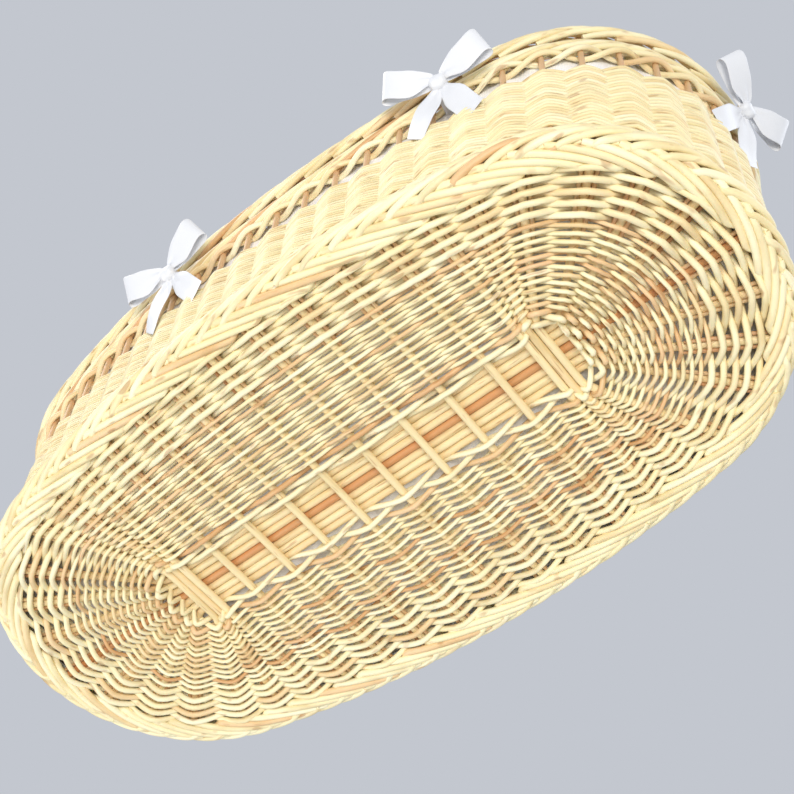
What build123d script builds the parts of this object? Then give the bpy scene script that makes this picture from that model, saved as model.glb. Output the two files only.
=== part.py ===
"""Moses basket in woven willow, with a tied cotton lining and a lift-out mattress.

Millimetres, +Z up, +X towards the head end.  The origin is under the middle of the
basket, on the surface that it stands on.  The basket is an oval that widens upwards:
every level is made of four arcs that meet at the same corner angle, so an upright
stake stays square to the wall from the foot wale to the border.
"""

import os
from math import asin, cos, degrees, radians, sin, sqrt

from build123d import *

# --- Driving dimensions -------------------------------------------------------

# Stake line: the oval that the middle of the wall follows.
base_half_length = 357.0
base_half_width = 174.0
rim_half_length = 382.0
rim_half_width = 192.0
flare_height = 250.0        # level at which the rim sizes hold
corner_angle = 78.0         # where the end arcs meet the side arcs

# Height of the border's top, in the middle and at the two ends.
rim_height_middle = 190.0
rim_height_head = 256.0
rim_height_foot = 198.0

# Base frame: long liner rods laid side by side, with sticks crossing under them.
liner_count = 7
liner_diameter = 6.8
liner_gap = 0.2             # between neighbouring liners
stick_diameter = 6.4
stick_pitch = 41.0          # between neighbouring cross sticks
single_stick_count = 8
triple_stick_gap = 0.4      # inside the group of three at each end
stick_level = 8.6           # height of the cross sticks' axes
fan_angle_step = 15.0       # between neighbouring radials at each end
fan_bend_radius = 16.0
liner_run_out = 13.0        # straight liner past the group of three

# Base weave.
base_weave_bottom = 2.6
base_weave_top = 14.4

# Wall.
wall_weave_half_thickness = 6.0
foot_wale_half_width = 9.0
foot_wale_height = 17.0
border_half_width = 12.0
border_height = 18.0
rim_wale_height = 18.0
fitch_height = 8.0
fitch_rod_thickness = 3.6
gap_height = 34.0           # open row under the fitch

# Stakes.
stake_diameter = 5.0
stakes_per_end = 14
stakes_per_side = 16
stake_foot_level = 5.0

# Lining and mattress.
lining_thickness = 1.6
lining_gap = 0.8            # lining to wall, and lining to the liner rods
mattress_height = 38.0
mattress_side_gap = 6.0     # mattress to lining
mattress_edge_radius = 12.0
mattress_seat_gap = 0.3
ticking_thickness = 1.5     # cover of the mattress
core_gap = 0.4

# Ribbon bows: outward directions in degrees, each half-way between two stakes.
bow_directions = {
    "head": 0.0,
    "foot": 180.0,
    "right_head": -79.5,
    "right_foot": -93.0,
    "left_head": 79.5,
    "left_foot": 93.0,
}
bow_drop = 44.0             # middle of the knot below the border's top
bow_stand_off = 2.0         # ribbon to the border behind it
knot_width = 15.0
knot_height = 15.0
knot_depth = 12.0
loop_length = 40.0
loop_height = 24.0
loop_depth = 11.0
loop_tilt = 18.0
tail_length = 46.0
tail_width = 18.0
tail_thickness = 3.0
tail_splay = 22.0
strap_width = 12.0
strap_thickness = 3.0
knot_clearance = 0.25       # knot to the loops and tails round it
strap_end_gap = 0.5         # strap to the lining

# Fits.
channel_clearance = 0.25    # round a rod that passes through weave
stick_end_gap = 1.5         # base sticks to the foot wale

# --- Sizes worked out from them -----------------------------------------------

stick_radius = stick_diameter / 2
liner_radius = liner_diameter / 2
stake_radius = stake_diameter / 2
liner_pitch = liner_diameter + liner_gap
triple_stick_pitch = stick_diameter + triple_stick_gap
liner_level = stick_level + stick_radius + liner_radius
strip_half_width = liner_pitch * (liner_count - 1) / 2 + liner_radius
triple_position = stick_pitch * (single_stick_count + 1) / 2
strip_half_length = triple_position + triple_stick_pitch + liner_run_out
lining_offset = wall_weave_half_thickness + lining_gap
lining_floor_level = liner_level + liner_radius + lining_gap
mattress_level = lining_floor_level + lining_thickness + mattress_seat_gap
border_drop = border_height
rim_wale_drop = border_drop + rim_wale_height
fitch_drop = rim_wale_drop + fitch_height
gap_drop = fitch_drop + gap_height
stick_end_offset = -foot_wale_half_width - stick_end_gap
bow_offset = border_half_width + bow_stand_off
slab_half_length = rim_half_length + 60.0
slab_depth = rim_half_width + 60.0

os.makedirs("parts", exist_ok=True)


# --- Geometry of the oval -----------------------------------------------------

def oval_arcs(offset, height):
    """Centres and radii of the oval at a height, a set distance outside the stake line."""
    rise = height / flare_height
    half_length = base_half_length + (rim_half_length - base_half_length) * rise + offset
    half_width = base_half_width + (rim_half_width - base_half_width) * rise + offset
    share = (1 - sin(radians(corner_angle))) / cos(radians(corner_angle))
    end_radius = (half_width - half_length * share) / (1 - share)
    end_centre = half_length - end_radius
    side_radius = end_radius + end_centre / cos(radians(corner_angle))
    return end_centre, end_radius, side_radius - half_width, side_radius


def wall_point(direction, height, offset=0.0):
    """Point of the wall that faces a direction, which is degrees from +X."""
    end_centre, end_radius, side_centre, side_radius = oval_arcs(offset, height)
    along = cos(radians(direction))
    across = sin(radians(direction))
    if abs(along) > cos(radians(corner_angle)):
        end = 1 if along > 0 else -1
        return Vector(end * end_centre + end_radius * along, end_radius * across, height)
    side = 1 if across > 0 else -1
    return Vector(side_radius * along, side_radius * across - side * side_centre, height)


def rim_height(x):
    """Height of the border's top at a distance along the basket."""
    end_height = rim_height_head if x > 0 else rim_height_foot
    radius = rim_arc_radius(end_height)
    return rim_height_middle + radius - sqrt(radius ** 2 - x ** 2)


def rim_arc_radius(end_height):
    """Radius of the arc that rises from the middle of the rim to one end."""
    rise = end_height - rim_height_middle
    return (rim_half_length ** 2 + rise ** 2) / (2 * rise)


def half_width_at(x, height, offset=0.0):
    """Half width of the oval on its side arcs."""
    _, _, side_centre, side_radius = oval_arcs(offset, height)
    return sqrt(side_radius ** 2 - x ** 2) - side_centre


def fan_reach(start, direction, height, offset):
    """Distance from a start point on the base to its end arc, along a direction."""
    end_centre, end_radius, _, _ = oval_arcs(offset, height)
    side = 1 if start.X > 0 else -1
    along = (start.X - side * end_centre) * direction.X + start.Y * direction.Y
    gap = (start.X - side * end_centre) ** 2 + start.Y ** 2 - end_radius ** 2
    return sqrt(along ** 2 - gap) - along


def oval(offset, height):
    """Oval face at one height, a set distance outside the stake line."""
    end_centre, end_radius, side_centre, side_radius = oval_arcs(offset, height)
    side_sweep = 180 - 2 * corner_angle
    with BuildSketch(Plane.XY.offset(height)) as face:
        with BuildLine():
            CenterArc((end_centre, 0), end_radius, -corner_angle, 2 * corner_angle)
            CenterArc((0, -side_centre), side_radius, corner_angle, side_sweep)
            CenterArc((-end_centre, 0), end_radius, 180 - corner_angle, 2 * corner_angle)
            CenterArc((0, side_centre), side_radius, 180 + corner_angle, side_sweep)
        make_face()
    return face.sketch


def rim_band(upper_drop, lower_drop):
    """Slab across the whole basket, between two drops below the border's top."""
    head_radius = rim_arc_radius(rim_height_head)
    foot_radius = rim_arc_radius(rim_height_foot)
    head_sweep = degrees(asin(slab_half_length / head_radius))
    foot_sweep = degrees(asin(slab_half_length / foot_radius))
    with BuildPart() as slab:
        with BuildSketch(Plane.XZ):
            with BuildLine():
                ends = []
                for drop in (upper_drop, lower_drop):
                    middle = rim_height_middle - drop
                    head = CenterArc((0, middle + head_radius), head_radius, -90, head_sweep)
                    foot = CenterArc((0, middle + foot_radius), foot_radius, -90, -foot_sweep)
                    ends.append((head @ 1, foot @ 1))
                Line(ends[0][0], ends[1][0])
                Line(ends[0][1], ends[1][1])
            make_face()
        extrude(amount=slab_depth, both=True)
    return slab.part


def wall_shell(inner_offset, outer_offset, bottom, top):
    """Shell between two offsets from the stake line, from one level to another."""
    with BuildPart() as shell:
        loft([oval(outer_offset, bottom), oval(outer_offset, top)])
        loft([oval(inner_offset, bottom), oval(inner_offset, top)], mode=Mode.SUBTRACT)
    return shell.part


# --- Paths of the rods --------------------------------------------------------

def liner_path(row):
    """A liner rod: straight down the strip, fanned out and down at both ends."""
    y = liner_pitch * (row - (liner_count - 1) / 2)
    turn = fan_angle_step * (row - (liner_count - 1) / 2)
    direction = Vector(cos(radians(turn)), sin(radians(turn)))
    bend = Vector(strip_half_length, y)
    reach = fan_reach(bend, direction, stick_level, stick_end_offset)
    tip = bend + direction * reach
    corners = [
        (-tip.X, tip.Y, stick_level),
        (-bend.X, bend.Y, liner_level),
        (bend.X, bend.Y, liner_level),
        (tip.X, tip.Y, stick_level),
    ]
    return FilletPolyline(*corners, radius=fan_bend_radius)


def cross_stick_path(x, turn):
    """A cross stick at one place on the strip, bent outwards at both ends by a turn."""
    level = stick_level
    if turn == 0:
        reach = half_width_at(x, level, stick_end_offset)
        return Line((x, -reach, level), (x, reach, level))
    end = 1 if x > 0 else -1
    bend_y = strip_half_width + stick_diameter
    direction = Vector(end * sin(radians(turn)), cos(radians(turn)))
    bend = Vector(x, bend_y)
    reach = fan_reach(bend, direction, level, stick_end_offset)
    tip = bend + direction * reach
    corners = [(tip.X, -tip.Y, level), (x, -bend_y, level), (x, bend_y, level), (tip.X, tip.Y, level)]
    return FilletPolyline(*corners, radius=fan_bend_radius)


def swept_rod(path, radius):
    """Round rod along a path."""
    with BuildPart() as rod:
        with BuildLine():
            add(path)
        with BuildSketch(Plane(origin=path @ 0, z_dir=path % 0)):
            Circle(radius)
        sweep()
    return rod.part


def stake_rod(direction, radius):
    """Straight rod up the middle of the wall, from the foot wale past the border."""
    foot = wall_point(direction, stake_foot_level)
    top = wall_point(direction, rim_height_head)
    with BuildPart() as rod:
        with BuildSketch(Plane(origin=foot, z_dir=top - foot)):
            Circle(radius)
        extrude(amount=(top - foot).length)
    return rod.part


def stake_directions(middle, sweep, count):
    """Outward directions of the stakes on one arc of the oval."""
    step = sweep / count
    return [middle - sweep / 2 + step * (index + 0.5) for index in range(count)]


cross_sticks = {}
for index in range(single_stick_count):
    position = stick_pitch * (index - (single_stick_count - 1) / 2)
    cross_sticks[f"cross_stick_{index + 1}"] = (position, 0)
for end_name, end_side in (("head", 1), ("foot", -1)):
    for index in range(3):
        position = end_side * (triple_position + triple_stick_pitch * (index - 1))
        turn = 0 if index == 0 else fan_angle_step * index
        cross_sticks[f"cross_stick_{end_name}_{index + 1}"] = (position, turn)

end_sweep = 2 * corner_angle
side_sweep = 180 - 2 * corner_angle
stake_groups = {
    "stakes_head": stake_directions(0, end_sweep, stakes_per_end),
    "stakes_foot": stake_directions(180, end_sweep, stakes_per_end),
    "stakes_left": stake_directions(90, side_sweep, stakes_per_side),
    "stakes_right": stake_directions(-90, side_sweep, stakes_per_side),
}
all_stake_directions = [angle for group in stake_groups.values() for angle in group]
stake_channel_radius = stake_radius + channel_clearance


# --- Base ---------------------------------------------------------------------

# Liner rods: seven long rods side by side, the spine of the base.
liner_paths = [liner_path(row) for row in range(liner_count)]
for row, path in enumerate(liner_paths):
    with BuildPart() as liner_rod:
        add(swept_rod(path, liner_radius))
    liner_rod.part.label = f"base_liner_rod_{row + 1}"
    export_step(liner_rod.part, f"parts/{liner_rod.part.label}.step")

# Cross sticks: eight single ones and a group of three at each end, under the liners.
stick_paths = {name: cross_stick_path(*place) for name, place in cross_sticks.items()}
for name, path in stick_paths.items():
    with BuildPart() as cross_stick:
        add(swept_rod(path, stick_radius))
    cross_stick.part.label = name
    export_step(cross_stick.part, f"parts/{name}.step")

# Base weave: an oval mat round the strip, with a channel for every stick.
with BuildPart() as base_weave:
    loft([
        oval(-foot_wale_half_width, base_weave_bottom),
        oval(-foot_wale_half_width, base_weave_top),
    ])
    with BuildSketch(Plane.XY.offset(base_weave_bottom)):
        Rectangle(2 * strip_half_length, 2 * (strip_half_width + channel_clearance))
    extrude(amount=base_weave_top - base_weave_bottom, mode=Mode.SUBTRACT)
    for path in stick_paths.values():
        add(swept_rod(path, stick_radius + channel_clearance), mode=Mode.SUBTRACT)
    for path in liner_paths:
        add(swept_rod(path, liner_radius + channel_clearance), mode=Mode.SUBTRACT)
base_weave.part.label = "base_weave"
export_step(base_weave.part, "parts/base_weave.step")

# --- Wall ---------------------------------------------------------------------

# Foot wale: the thick rope of rods that the basket stands on.
with BuildPart() as foot_wale:
    add(wall_shell(-foot_wale_half_width, foot_wale_half_width, 0, foot_wale_height))
    for angle in all_stake_directions:
        add(stake_rod(angle, stake_channel_radius), mode=Mode.SUBTRACT)
foot_wale.part.label = "foot_wale"
export_step(foot_wale.part, "parts/foot_wale.step")

# Stakes: the uprights, seen singly in the open row.
under_border = rim_band(border_drop, rim_height_head + border_drop)
for name, angles in stake_groups.items():
    with BuildPart() as stakes:
        for angle in angles:
            add(stake_rod(angle, stake_radius))
        add(under_border, mode=Mode.INTERSECT)
    stakes.part.label = name
    export_step(stakes.part, f"parts/{name}.step")

# Wall weave: the close randing from the foot wale to the open row.
with BuildPart() as wall_weave:
    add(wall_shell(
        -wall_weave_half_thickness, wall_weave_half_thickness, foot_wale_height, flare_height
    ))
    add(rim_band(gap_drop, rim_height_head + gap_drop), mode=Mode.INTERSECT)
    for angle in all_stake_directions:
        add(stake_rod(angle, stake_channel_radius), mode=Mode.SUBTRACT)
wall_weave.part.label = "wall_weave"
export_step(wall_weave.part, "parts/wall_weave.step")

# Fitch: a pair of rods above the open row, one outside the stakes and one inside.
fitch_gap = stake_radius + channel_clearance
fitch_band = rim_band(rim_wale_drop, fitch_drop)
fitch_sides = {
    "fitch_rod_outer": (fitch_gap, fitch_gap + fitch_rod_thickness),
    "fitch_rod_inner": (-fitch_gap - fitch_rod_thickness, -fitch_gap),
}
for name, offsets in fitch_sides.items():
    with BuildPart() as fitch_rod:
        add(wall_shell(*offsets, 0, flare_height))
        add(fitch_band, mode=Mode.INTERSECT)
    fitch_rod.part.label = name
    export_step(fitch_rod.part, f"parts/{name}.step")

# Rim wale: the band of waled rods between the fitch and the border.
with BuildPart() as rim_wale:
    add(wall_shell(-wall_weave_half_thickness, wall_weave_half_thickness, 0, flare_height))
    add(rim_band(border_drop, rim_wale_drop), mode=Mode.INTERSECT)
    for angle in all_stake_directions:
        add(stake_rod(angle, stake_channel_radius), mode=Mode.SUBTRACT)
rim_wale.part.label = "rim_wale"
export_step(rim_wale.part, "parts/rim_wale.step")

# Border: the plaited top edge, an outer and an inner run of rods side by side.
border_sides = {
    "border_outer": (0, border_half_width),
    "border_inner": (-border_half_width, 0),
}
for name, offsets in border_sides.items():
    with BuildPart() as border:
        add(wall_shell(*offsets, 0, flare_height))
        add(rim_band(0, border_drop), mode=Mode.INTERSECT)
    border.part.label = name
    export_step(border.part, f"parts/{name}.step")

# --- Lining -------------------------------------------------------------------

# Lining skirt: the cotton that covers the inside of the wall up to the border.
with BuildPart() as lining_skirt:
    add(wall_shell(
        -lining_offset - lining_thickness, -lining_offset, lining_floor_level, flare_height
    ))
    add(rim_band(border_drop + lining_gap, rim_height_head), mode=Mode.INTERSECT)
lining_skirt.part.label = "lining_skirt"
export_step(lining_skirt.part, "parts/lining_skirt.step")

# Lining floor: the flat panel sewn inside the skirt, under the mattress.
with BuildPart() as lining_floor:
    floor_offset = -lining_offset - lining_thickness
    loft([
        oval(floor_offset, lining_floor_level),
        oval(floor_offset, lining_floor_level + lining_thickness),
    ])
lining_floor.part.label = "lining_floor"
export_step(lining_floor.part, "parts/lining_floor.step")

# Ribbon bows: each is tied round the band through the open row, and holds the lining.
def bow_plane(direction):
    """Plane of a bow: outwards from the wall, with the knot's middle as its origin."""
    level = rim_height(wall_point(direction, rim_height_middle).X) - bow_drop
    seat = wall_point(direction, level, bow_offset)
    upwards = wall_point(direction, level + knot_height, bow_offset) - seat
    across = Vector(-sin(radians(direction)), cos(radians(direction)), 0)
    return Plane(origin=seat, x_dir=across, z_dir=across.cross(upwards))


def leaf_plane(front, reach, turn):
    """Plane of one loop or tail: its middle at a reach from the knot, turned about it."""
    along = front.y_dir.rotate(Axis((0, 0, 0), front.z_dir), turn)
    centre = front.origin + along * reach + front.z_dir * knot_clearance
    return Plane(origin=centre, x_dir=along.cross(front.z_dir), z_dir=front.z_dir)


for place, angle in bow_directions.items():
    front = bow_plane(angle)

    with BuildPart() as bow_knot:
        with BuildSketch(front):
            RectangleRounded(knot_width, knot_height, knot_height / 4)
        extrude(amount=knot_depth)
        fillet(bow_knot.faces().sort_by(Axis(front.origin, front.z_dir))[-1].edges(), knot_depth / 4)
        with BuildSketch(front):
            with Locations((0, (strap_thickness - knot_height) / 2)):
                Rectangle(strap_width, strap_thickness)
        extrude(amount=-(bow_offset + lining_offset - strap_end_gap))
    bow_knot.part.label = f"bow_knot_{place}"
    export_step(bow_knot.part, f"parts/{bow_knot.part.label}.step")

    with BuildPart() as bow_ribbon:
        for side in (-1, 1):
            loop_reach = (knot_width + loop_length) / 2
            with BuildSketch(leaf_plane(front, loop_reach, side * (loop_tilt - 90))):
                RectangleRounded(loop_height, loop_length, loop_height / 3)
            extrude(amount=loop_depth)
            tail_reach = -(knot_height + tail_length) / 2
            with BuildSketch(leaf_plane(front, tail_reach, side * tail_splay)):
                Rectangle(tail_width, tail_length)
            extrude(amount=tail_thickness)
        with BuildSketch(front):
            RectangleRounded(
                knot_width + 2 * knot_clearance,
                knot_height + 2 * knot_clearance,
                knot_height / 4 + knot_clearance,
            )
        extrude(amount=2 * knot_depth, mode=Mode.SUBTRACT)
    bow_ribbon.part.label = f"bow_ribbon_{place}"
    export_step(bow_ribbon.part, f"parts/{bow_ribbon.part.label}.step")

# --- Mattress -----------------------------------------------------------------

mattress_offset = -lining_offset - lining_thickness - mattress_side_gap


def mattress_block(inset, bottom, top, edge_radius):
    """Oval block with straight sides and rounded edges."""
    with BuildPart() as block:
        extrude(oval(mattress_offset - inset, mattress_level), amount=top - bottom)
        fillet(block.edges().filter_by(GeomType.LINE, reverse=True), edge_radius)
    return block.part.moved(Location((0, 0, bottom - mattress_level)))


# Mattress cover: quilted ticking, hollow, lying on the lining's floor.
mattress_top = mattress_level + mattress_height
with BuildPart() as mattress_cover:
    add(mattress_block(0, mattress_level, mattress_top, mattress_edge_radius))
    add(
        mattress_block(
            ticking_thickness,
            mattress_level + ticking_thickness,
            mattress_top - ticking_thickness,
            mattress_edge_radius - ticking_thickness,
        ),
        mode=Mode.SUBTRACT,
    )
mattress_cover.part.label = "mattress_cover"
export_step(mattress_cover.part, "parts/mattress_cover.step")

# Mattress core: the foam block inside the cover.
core_inset = ticking_thickness + core_gap
with BuildPart() as mattress_core:
    add(mattress_block(
        core_inset,
        mattress_level + core_inset,
        mattress_top - core_inset,
        mattress_edge_radius - core_inset,
    ))
mattress_core.part.label = "mattress_core"
export_step(mattress_core.part, "parts/mattress_core.step")
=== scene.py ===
"""Moses basket in woven willow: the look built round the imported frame.

Every rod of the weave is laid as its own centre line and swept by one Geometry Nodes
tree.  The cotton lining, the satin bows and the mattress are cloth, each made in the
place that its plain solid holds.  Metres, +Z up, +X towards the head end.
"""

import logging
import math
import random
from dataclasses import dataclass, field
from enum import Enum
from typing import Any, Callable, Iterable, Sequence

import bmesh
import bpy
import numpy as np
from mathutils import Matrix, Vector, noise


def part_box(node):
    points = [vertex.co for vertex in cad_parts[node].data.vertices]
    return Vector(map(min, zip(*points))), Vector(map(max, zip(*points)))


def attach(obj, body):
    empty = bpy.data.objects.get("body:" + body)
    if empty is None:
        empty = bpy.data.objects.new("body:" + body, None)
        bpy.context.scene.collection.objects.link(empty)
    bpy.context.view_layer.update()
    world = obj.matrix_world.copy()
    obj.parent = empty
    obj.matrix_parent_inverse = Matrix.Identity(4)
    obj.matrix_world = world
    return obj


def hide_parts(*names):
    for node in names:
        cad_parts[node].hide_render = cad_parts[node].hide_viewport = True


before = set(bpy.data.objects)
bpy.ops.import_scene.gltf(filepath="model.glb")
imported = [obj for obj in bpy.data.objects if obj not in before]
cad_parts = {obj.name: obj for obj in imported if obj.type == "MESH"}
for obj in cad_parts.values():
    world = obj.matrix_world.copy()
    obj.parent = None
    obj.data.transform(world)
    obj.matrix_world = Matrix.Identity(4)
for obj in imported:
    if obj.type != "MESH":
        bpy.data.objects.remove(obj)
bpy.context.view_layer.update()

MM = 0.001
TAU = 2 * math.pi

logging.basicConfig(level=logging.INFO, format="%(message)s")
log = logging.getLogger("moses_basket")


# --- Names ----------------------------------------------------------------------


class Body(Enum):
    """Bodies that move on their own."""

    BASKET = "basket"
    MATTRESS = "mattress"


class Slot(Enum):
    """Material slots of the record, one passed with each new piece."""

    WHITE_WILLOW = "white_willow"
    BUFF_WILLOW = "buff_willow"
    COTTON = "lining_cotton"
    SATIN = "ribbon_satin"
    TICKING = "mattress_ticking"
    FOAM = "foam_core"


class Axis(Enum):
    """Direction that a rod's grain follows, as an index into a vector."""

    X = 0
    Y = 1
    Z = 2


# --- Small helpers --------------------------------------------------------------


def colour(code: str) -> tuple[float, float, float, float]:
    """Linear colour of an sRGB hex code.

    Args:
        code: Six hex digits.

    Returns:
        Red, green, blue and an alpha of 1.
    """
    shares = [int(code[i : i + 2], 16) / 255 for i in (0, 2, 4)]
    linear = [s / 12.92 if s <= 0.04045 else ((s + 0.055) / 1.055) ** 2.4 for s in shares]
    return (linear[0], linear[1], linear[2], 1.0)


def add_node(
    tree: bpy.types.NodeTree,
    kind: str,
    settings: dict[str, Any] | None = None,
    inputs: dict[Any, Any] | None = None,
) -> bpy.types.Node:
    """Adds a node with its settings and its links.

    Args:
        tree: The tree that gets the node.
        kind: The node's type name.
        settings: Properties of the node.
        inputs: A value or an output socket for each input, by name or index.

    Returns:
        The new node.
    """
    node = tree.nodes.new(kind)
    for name, value in (settings or {}).items():
        setattr(node, name, value)
    for name, value in (inputs or {}).items():
        if isinstance(value, bpy.types.NodeSocket):
            tree.links.new(value, node.inputs[name])
        else:
            node.inputs[name].default_value = value
    return node


def ramp(
    tree: bpy.types.NodeTree, factor: bpy.types.NodeSocket, stops: Sequence[tuple[float, str]]
) -> bpy.types.NodeSocket:
    """Adds a colour ramp.

    Args:
        tree: The tree that gets it.
        factor: What drives it.
        stops: Positions and hex colours.

    Returns:
        The ramp's colour output.
    """
    node = add_node(tree, "ShaderNodeValToRGB", inputs={"Fac": factor})
    elements = node.color_ramp.elements
    while len(elements) < len(stops):
        elements.new(0.5)
    for element, (position, code) in zip(elements, stops):
        element.position = position
        element.color = colour(code)
    return node.outputs["Color"]


def new_material(name: str) -> tuple[bpy.types.Material, bpy.types.NodeTree]:
    """Material with an empty node tree."""
    material = bpy.data.materials.new(name)
    material.use_nodes = True
    material.node_tree.nodes.clear()
    return material, material.node_tree


def smoothstep(value: float) -> float:
    """Smooth rise from 0 to 1."""
    value = min(1.0, max(0.0, value))
    return value * value * (3 - 2 * value)


# --- Finishes -------------------------------------------------------------------


@dataclass(frozen=True)
class WillowFinish:
    """Willow rod with its bark off: satin, with a tone of its own on every rod.

    Attributes:
        name: Material name.
        stops: Colours from the palest rod to the darkest.
        roughness: Lowest and highest roughness.
        grain_mm: Length of a streak along the rod.
        streaks_per_metre: Streaks across a stick's width, for each metre.
        tint_spread: Distance in the noise between the palest rod and the darkest.
        tone_spread: How far a stick's colour strays from its tone, as a share of the stops.
        scar: Colour of the small scars where side shoots were.
    """

    name: str
    stops: tuple[tuple[float, str], ...]
    roughness: tuple[float, float] = (0.36, 0.56)
    grain_mm: float = 45.0
    streaks_per_metre: float = 180.0
    tint_spread: float = 83.0
    tone_spread: float = 0.16
    scar: str = "A9743F"

    def material(self) -> bpy.types.Material:
        """Material for swept rods, which carry `tint`, `along` and `around`."""
        material, tree = new_material(self.name)
        tint, along, around = (
            add_node(tree, "ShaderNodeAttribute", {"attribute_name": name}).outputs["Fac"]
            for name in ("tint", "along", "around")
        )
        lengthwise, strand = (
            add_node(tree, "ShaderNodeMath", {"operation": "MULTIPLY"}, {0: value, 1: factor}).outputs[0]
            for value, factor in ((along, 1 / (self.grain_mm * MM)), (tint, self.tint_spread))
        )
        place = add_node(
            tree, "ShaderNodeCombineXYZ", inputs={"X": lengthwise, "Y": around, "Z": strand}
        ).outputs[0]
        self._finish(tree, tint, place)
        return material

    def stick_material(self, name: str, tone: float, grain: Axis) -> bpy.types.Material:
        """Material for a stick that lies along an axis.

        Args:
            name: Material name.
            tone: Place of the stick's colour between the palest and the darkest.
            grain: Axis that the stick follows.

        Returns:
            The material.
        """
        material, tree = new_material(name)
        place = add_node(tree, "ShaderNodeTexCoord").outputs["Object"]
        scale = [self.streaks_per_metre] * 3
        scale[grain.value] = 1 / (self.grain_mm * MM)
        streaks = add_node(
            tree, "ShaderNodeMapping", inputs={"Vector": place, "Scale": scale}
        ).outputs[0]
        wander = add_node(
            tree, "ShaderNodeTexNoise", inputs={"Vector": streaks, "Scale": 1.0, "Detail": 3.0}
        ).outputs["Fac"]
        tint = add_node(
            tree,
            "ShaderNodeMapRange",
            inputs={"Value": wander, "From Min": 0.25, "From Max": 0.75,
                    "To Min": max(0.0, tone - self.tone_spread),
                    "To Max": min(1.0, tone + self.tone_spread)},
        ).outputs[0]
        self._finish(tree, tint, streaks)
        return material

    def _finish(
        self, tree: bpy.types.NodeTree, tint: bpy.types.NodeSocket, place: bpy.types.NodeSocket
    ) -> None:
        """Colour, streaks, scars and fibres, from a tint and a place on the rod."""
        base = ramp(tree, tint, self.stops)
        streak = add_node(
            tree, "ShaderNodeTexNoise", inputs={"Vector": place, "Scale": 1.0, "Detail": 4.0}
        ).outputs["Fac"]
        shade = ramp(tree, streak, [(0.28, "D9C6A0"), (0.5, "F8F3E6"), (0.75, "FFFFFF")])
        toned = add_node(
            tree,
            "ShaderNodeMix",
            {"data_type": "RGBA", "blend_type": "MULTIPLY"},
            {0: 0.7, 6: base, 7: shade},
        ).outputs[2]
        knots = add_node(
            tree, "ShaderNodeTexNoise", inputs={"Vector": place, "Scale": 3.1, "Detail": 0.0}
        ).outputs["Fac"]
        scarred = add_node(
            tree,
            "ShaderNodeMapRange",
            inputs={"Value": knots, "From Min": 0.70, "From Max": 0.80,
                    "To Min": 0.0, "To Max": 0.5},
        ).outputs[0]
        final = add_node(
            tree,
            "ShaderNodeMix",
            {"data_type": "RGBA"},
            {0: scarred, 6: toned, 7: colour(self.scar)},
        ).outputs[2]
        rough = add_node(
            tree,
            "ShaderNodeMapRange",
            inputs={"Value": streak, "From Min": 0.2, "From Max": 0.8,
                    "To Min": self.roughness[0], "To Max": self.roughness[1]},
        ).outputs[0]
        fibres = add_node(
            tree, "ShaderNodeTexNoise", inputs={"Vector": place, "Scale": 9.0, "Detail": 2.0}
        ).outputs["Fac"]
        bump = add_node(
            tree, "ShaderNodeBump", inputs={"Strength": 0.25, "Distance": 0.0006, "Height": fibres}
        ).outputs[0]
        shader = add_node(
            tree,
            "ShaderNodeBsdfPrincipled",
            inputs={"Base Color": final, "Roughness": rough, "Normal": bump, "IOR": 1.5,
                    "Subsurface Weight": 0.05, "Subsurface Scale": 0.002},
        )
        add_node(tree, "ShaderNodeOutputMaterial", inputs={"Surface": shader.outputs[0]})


@dataclass(frozen=True)
class ClothFinish:
    """Woven cloth: two sets of threads that catch the light on the surface, with painted shade between
    them.

    Attributes:
        name: Material name.
        tint: Colour of the lit threads.
        hollow_shade: Colour of the painted shade between the threads.
        thread_mm: Spacing of the threads as drawn.
        roughness: Roughness of the cloth.
        sheen: Weight of the soft edge light of loose fibres.
        relief_mm: Height of the threads.
        gloss: Anisotropy, for threads that float on the surface.
    """

    name: str
    tint: str
    hollow_shade: str
    thread_mm: float
    roughness: float
    sheen: float
    relief_mm: float
    gloss: float = 0.0

    def material(self) -> bpy.types.Material:
        """Material that reads the piece's own UV map, which is in metres."""
        material, tree = new_material(self.name)
        place = add_node(tree, "ShaderNodeUVMap", {"uv_map": "cloth"}).outputs[0]
        # The bands of a wave texture lie about 0.31 m apart, divided by its scale.
        scale = 2 / (TAU * self.thread_mm * MM)
        heights = []
        for direction in ("X", "Y"):
            threads = add_node(
                tree,
                "ShaderNodeTexWave",
                {"bands_direction": direction, "wave_profile": "SIN"},
                {"Vector": place, "Scale": scale, "Distortion": 0.6, "Detail": 1.0},
            )
            heights.append(threads.outputs["Fac"])
        weave = add_node(
            tree, "ShaderNodeMath", {"operation": "MAXIMUM"}, {0: heights[0], 1: heights[1]}
        ).outputs[0]
        slubs = add_node(
            tree, "ShaderNodeTexNoise", inputs={"Vector": place, "Scale": 60.0, "Detail": 3.0}
        ).outputs["Fac"]
        mixed = add_node(
            tree, "ShaderNodeMath", {"operation": "MULTIPLY_ADD"}, {0: slubs, 1: 0.5, 2: weave}
        ).outputs[0]
        # The weave's hollows are painted darker as painted shade; the slubs are the thread's own uneven
        # tone.
        tone = ramp(tree, mixed, [(0.35, self.hollow_shade), (1.0, self.tint)])
        bump = add_node(
            tree,
            "ShaderNodeBump",
            inputs={"Strength": 0.5, "Distance": self.relief_mm * MM, "Height": mixed},
        ).outputs[0]
        shader = add_node(
            tree,
            "ShaderNodeBsdfPrincipled",
            inputs={"Base Color": tone, "Normal": bump, "Roughness": self.roughness,
                    "Sheen Weight": self.sheen, "Sheen Roughness": 0.4, "Anisotropic": self.gloss},
        )
        add_node(tree, "ShaderNodeOutputMaterial", inputs={"Surface": shader.outputs[0]})
        return material


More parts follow.
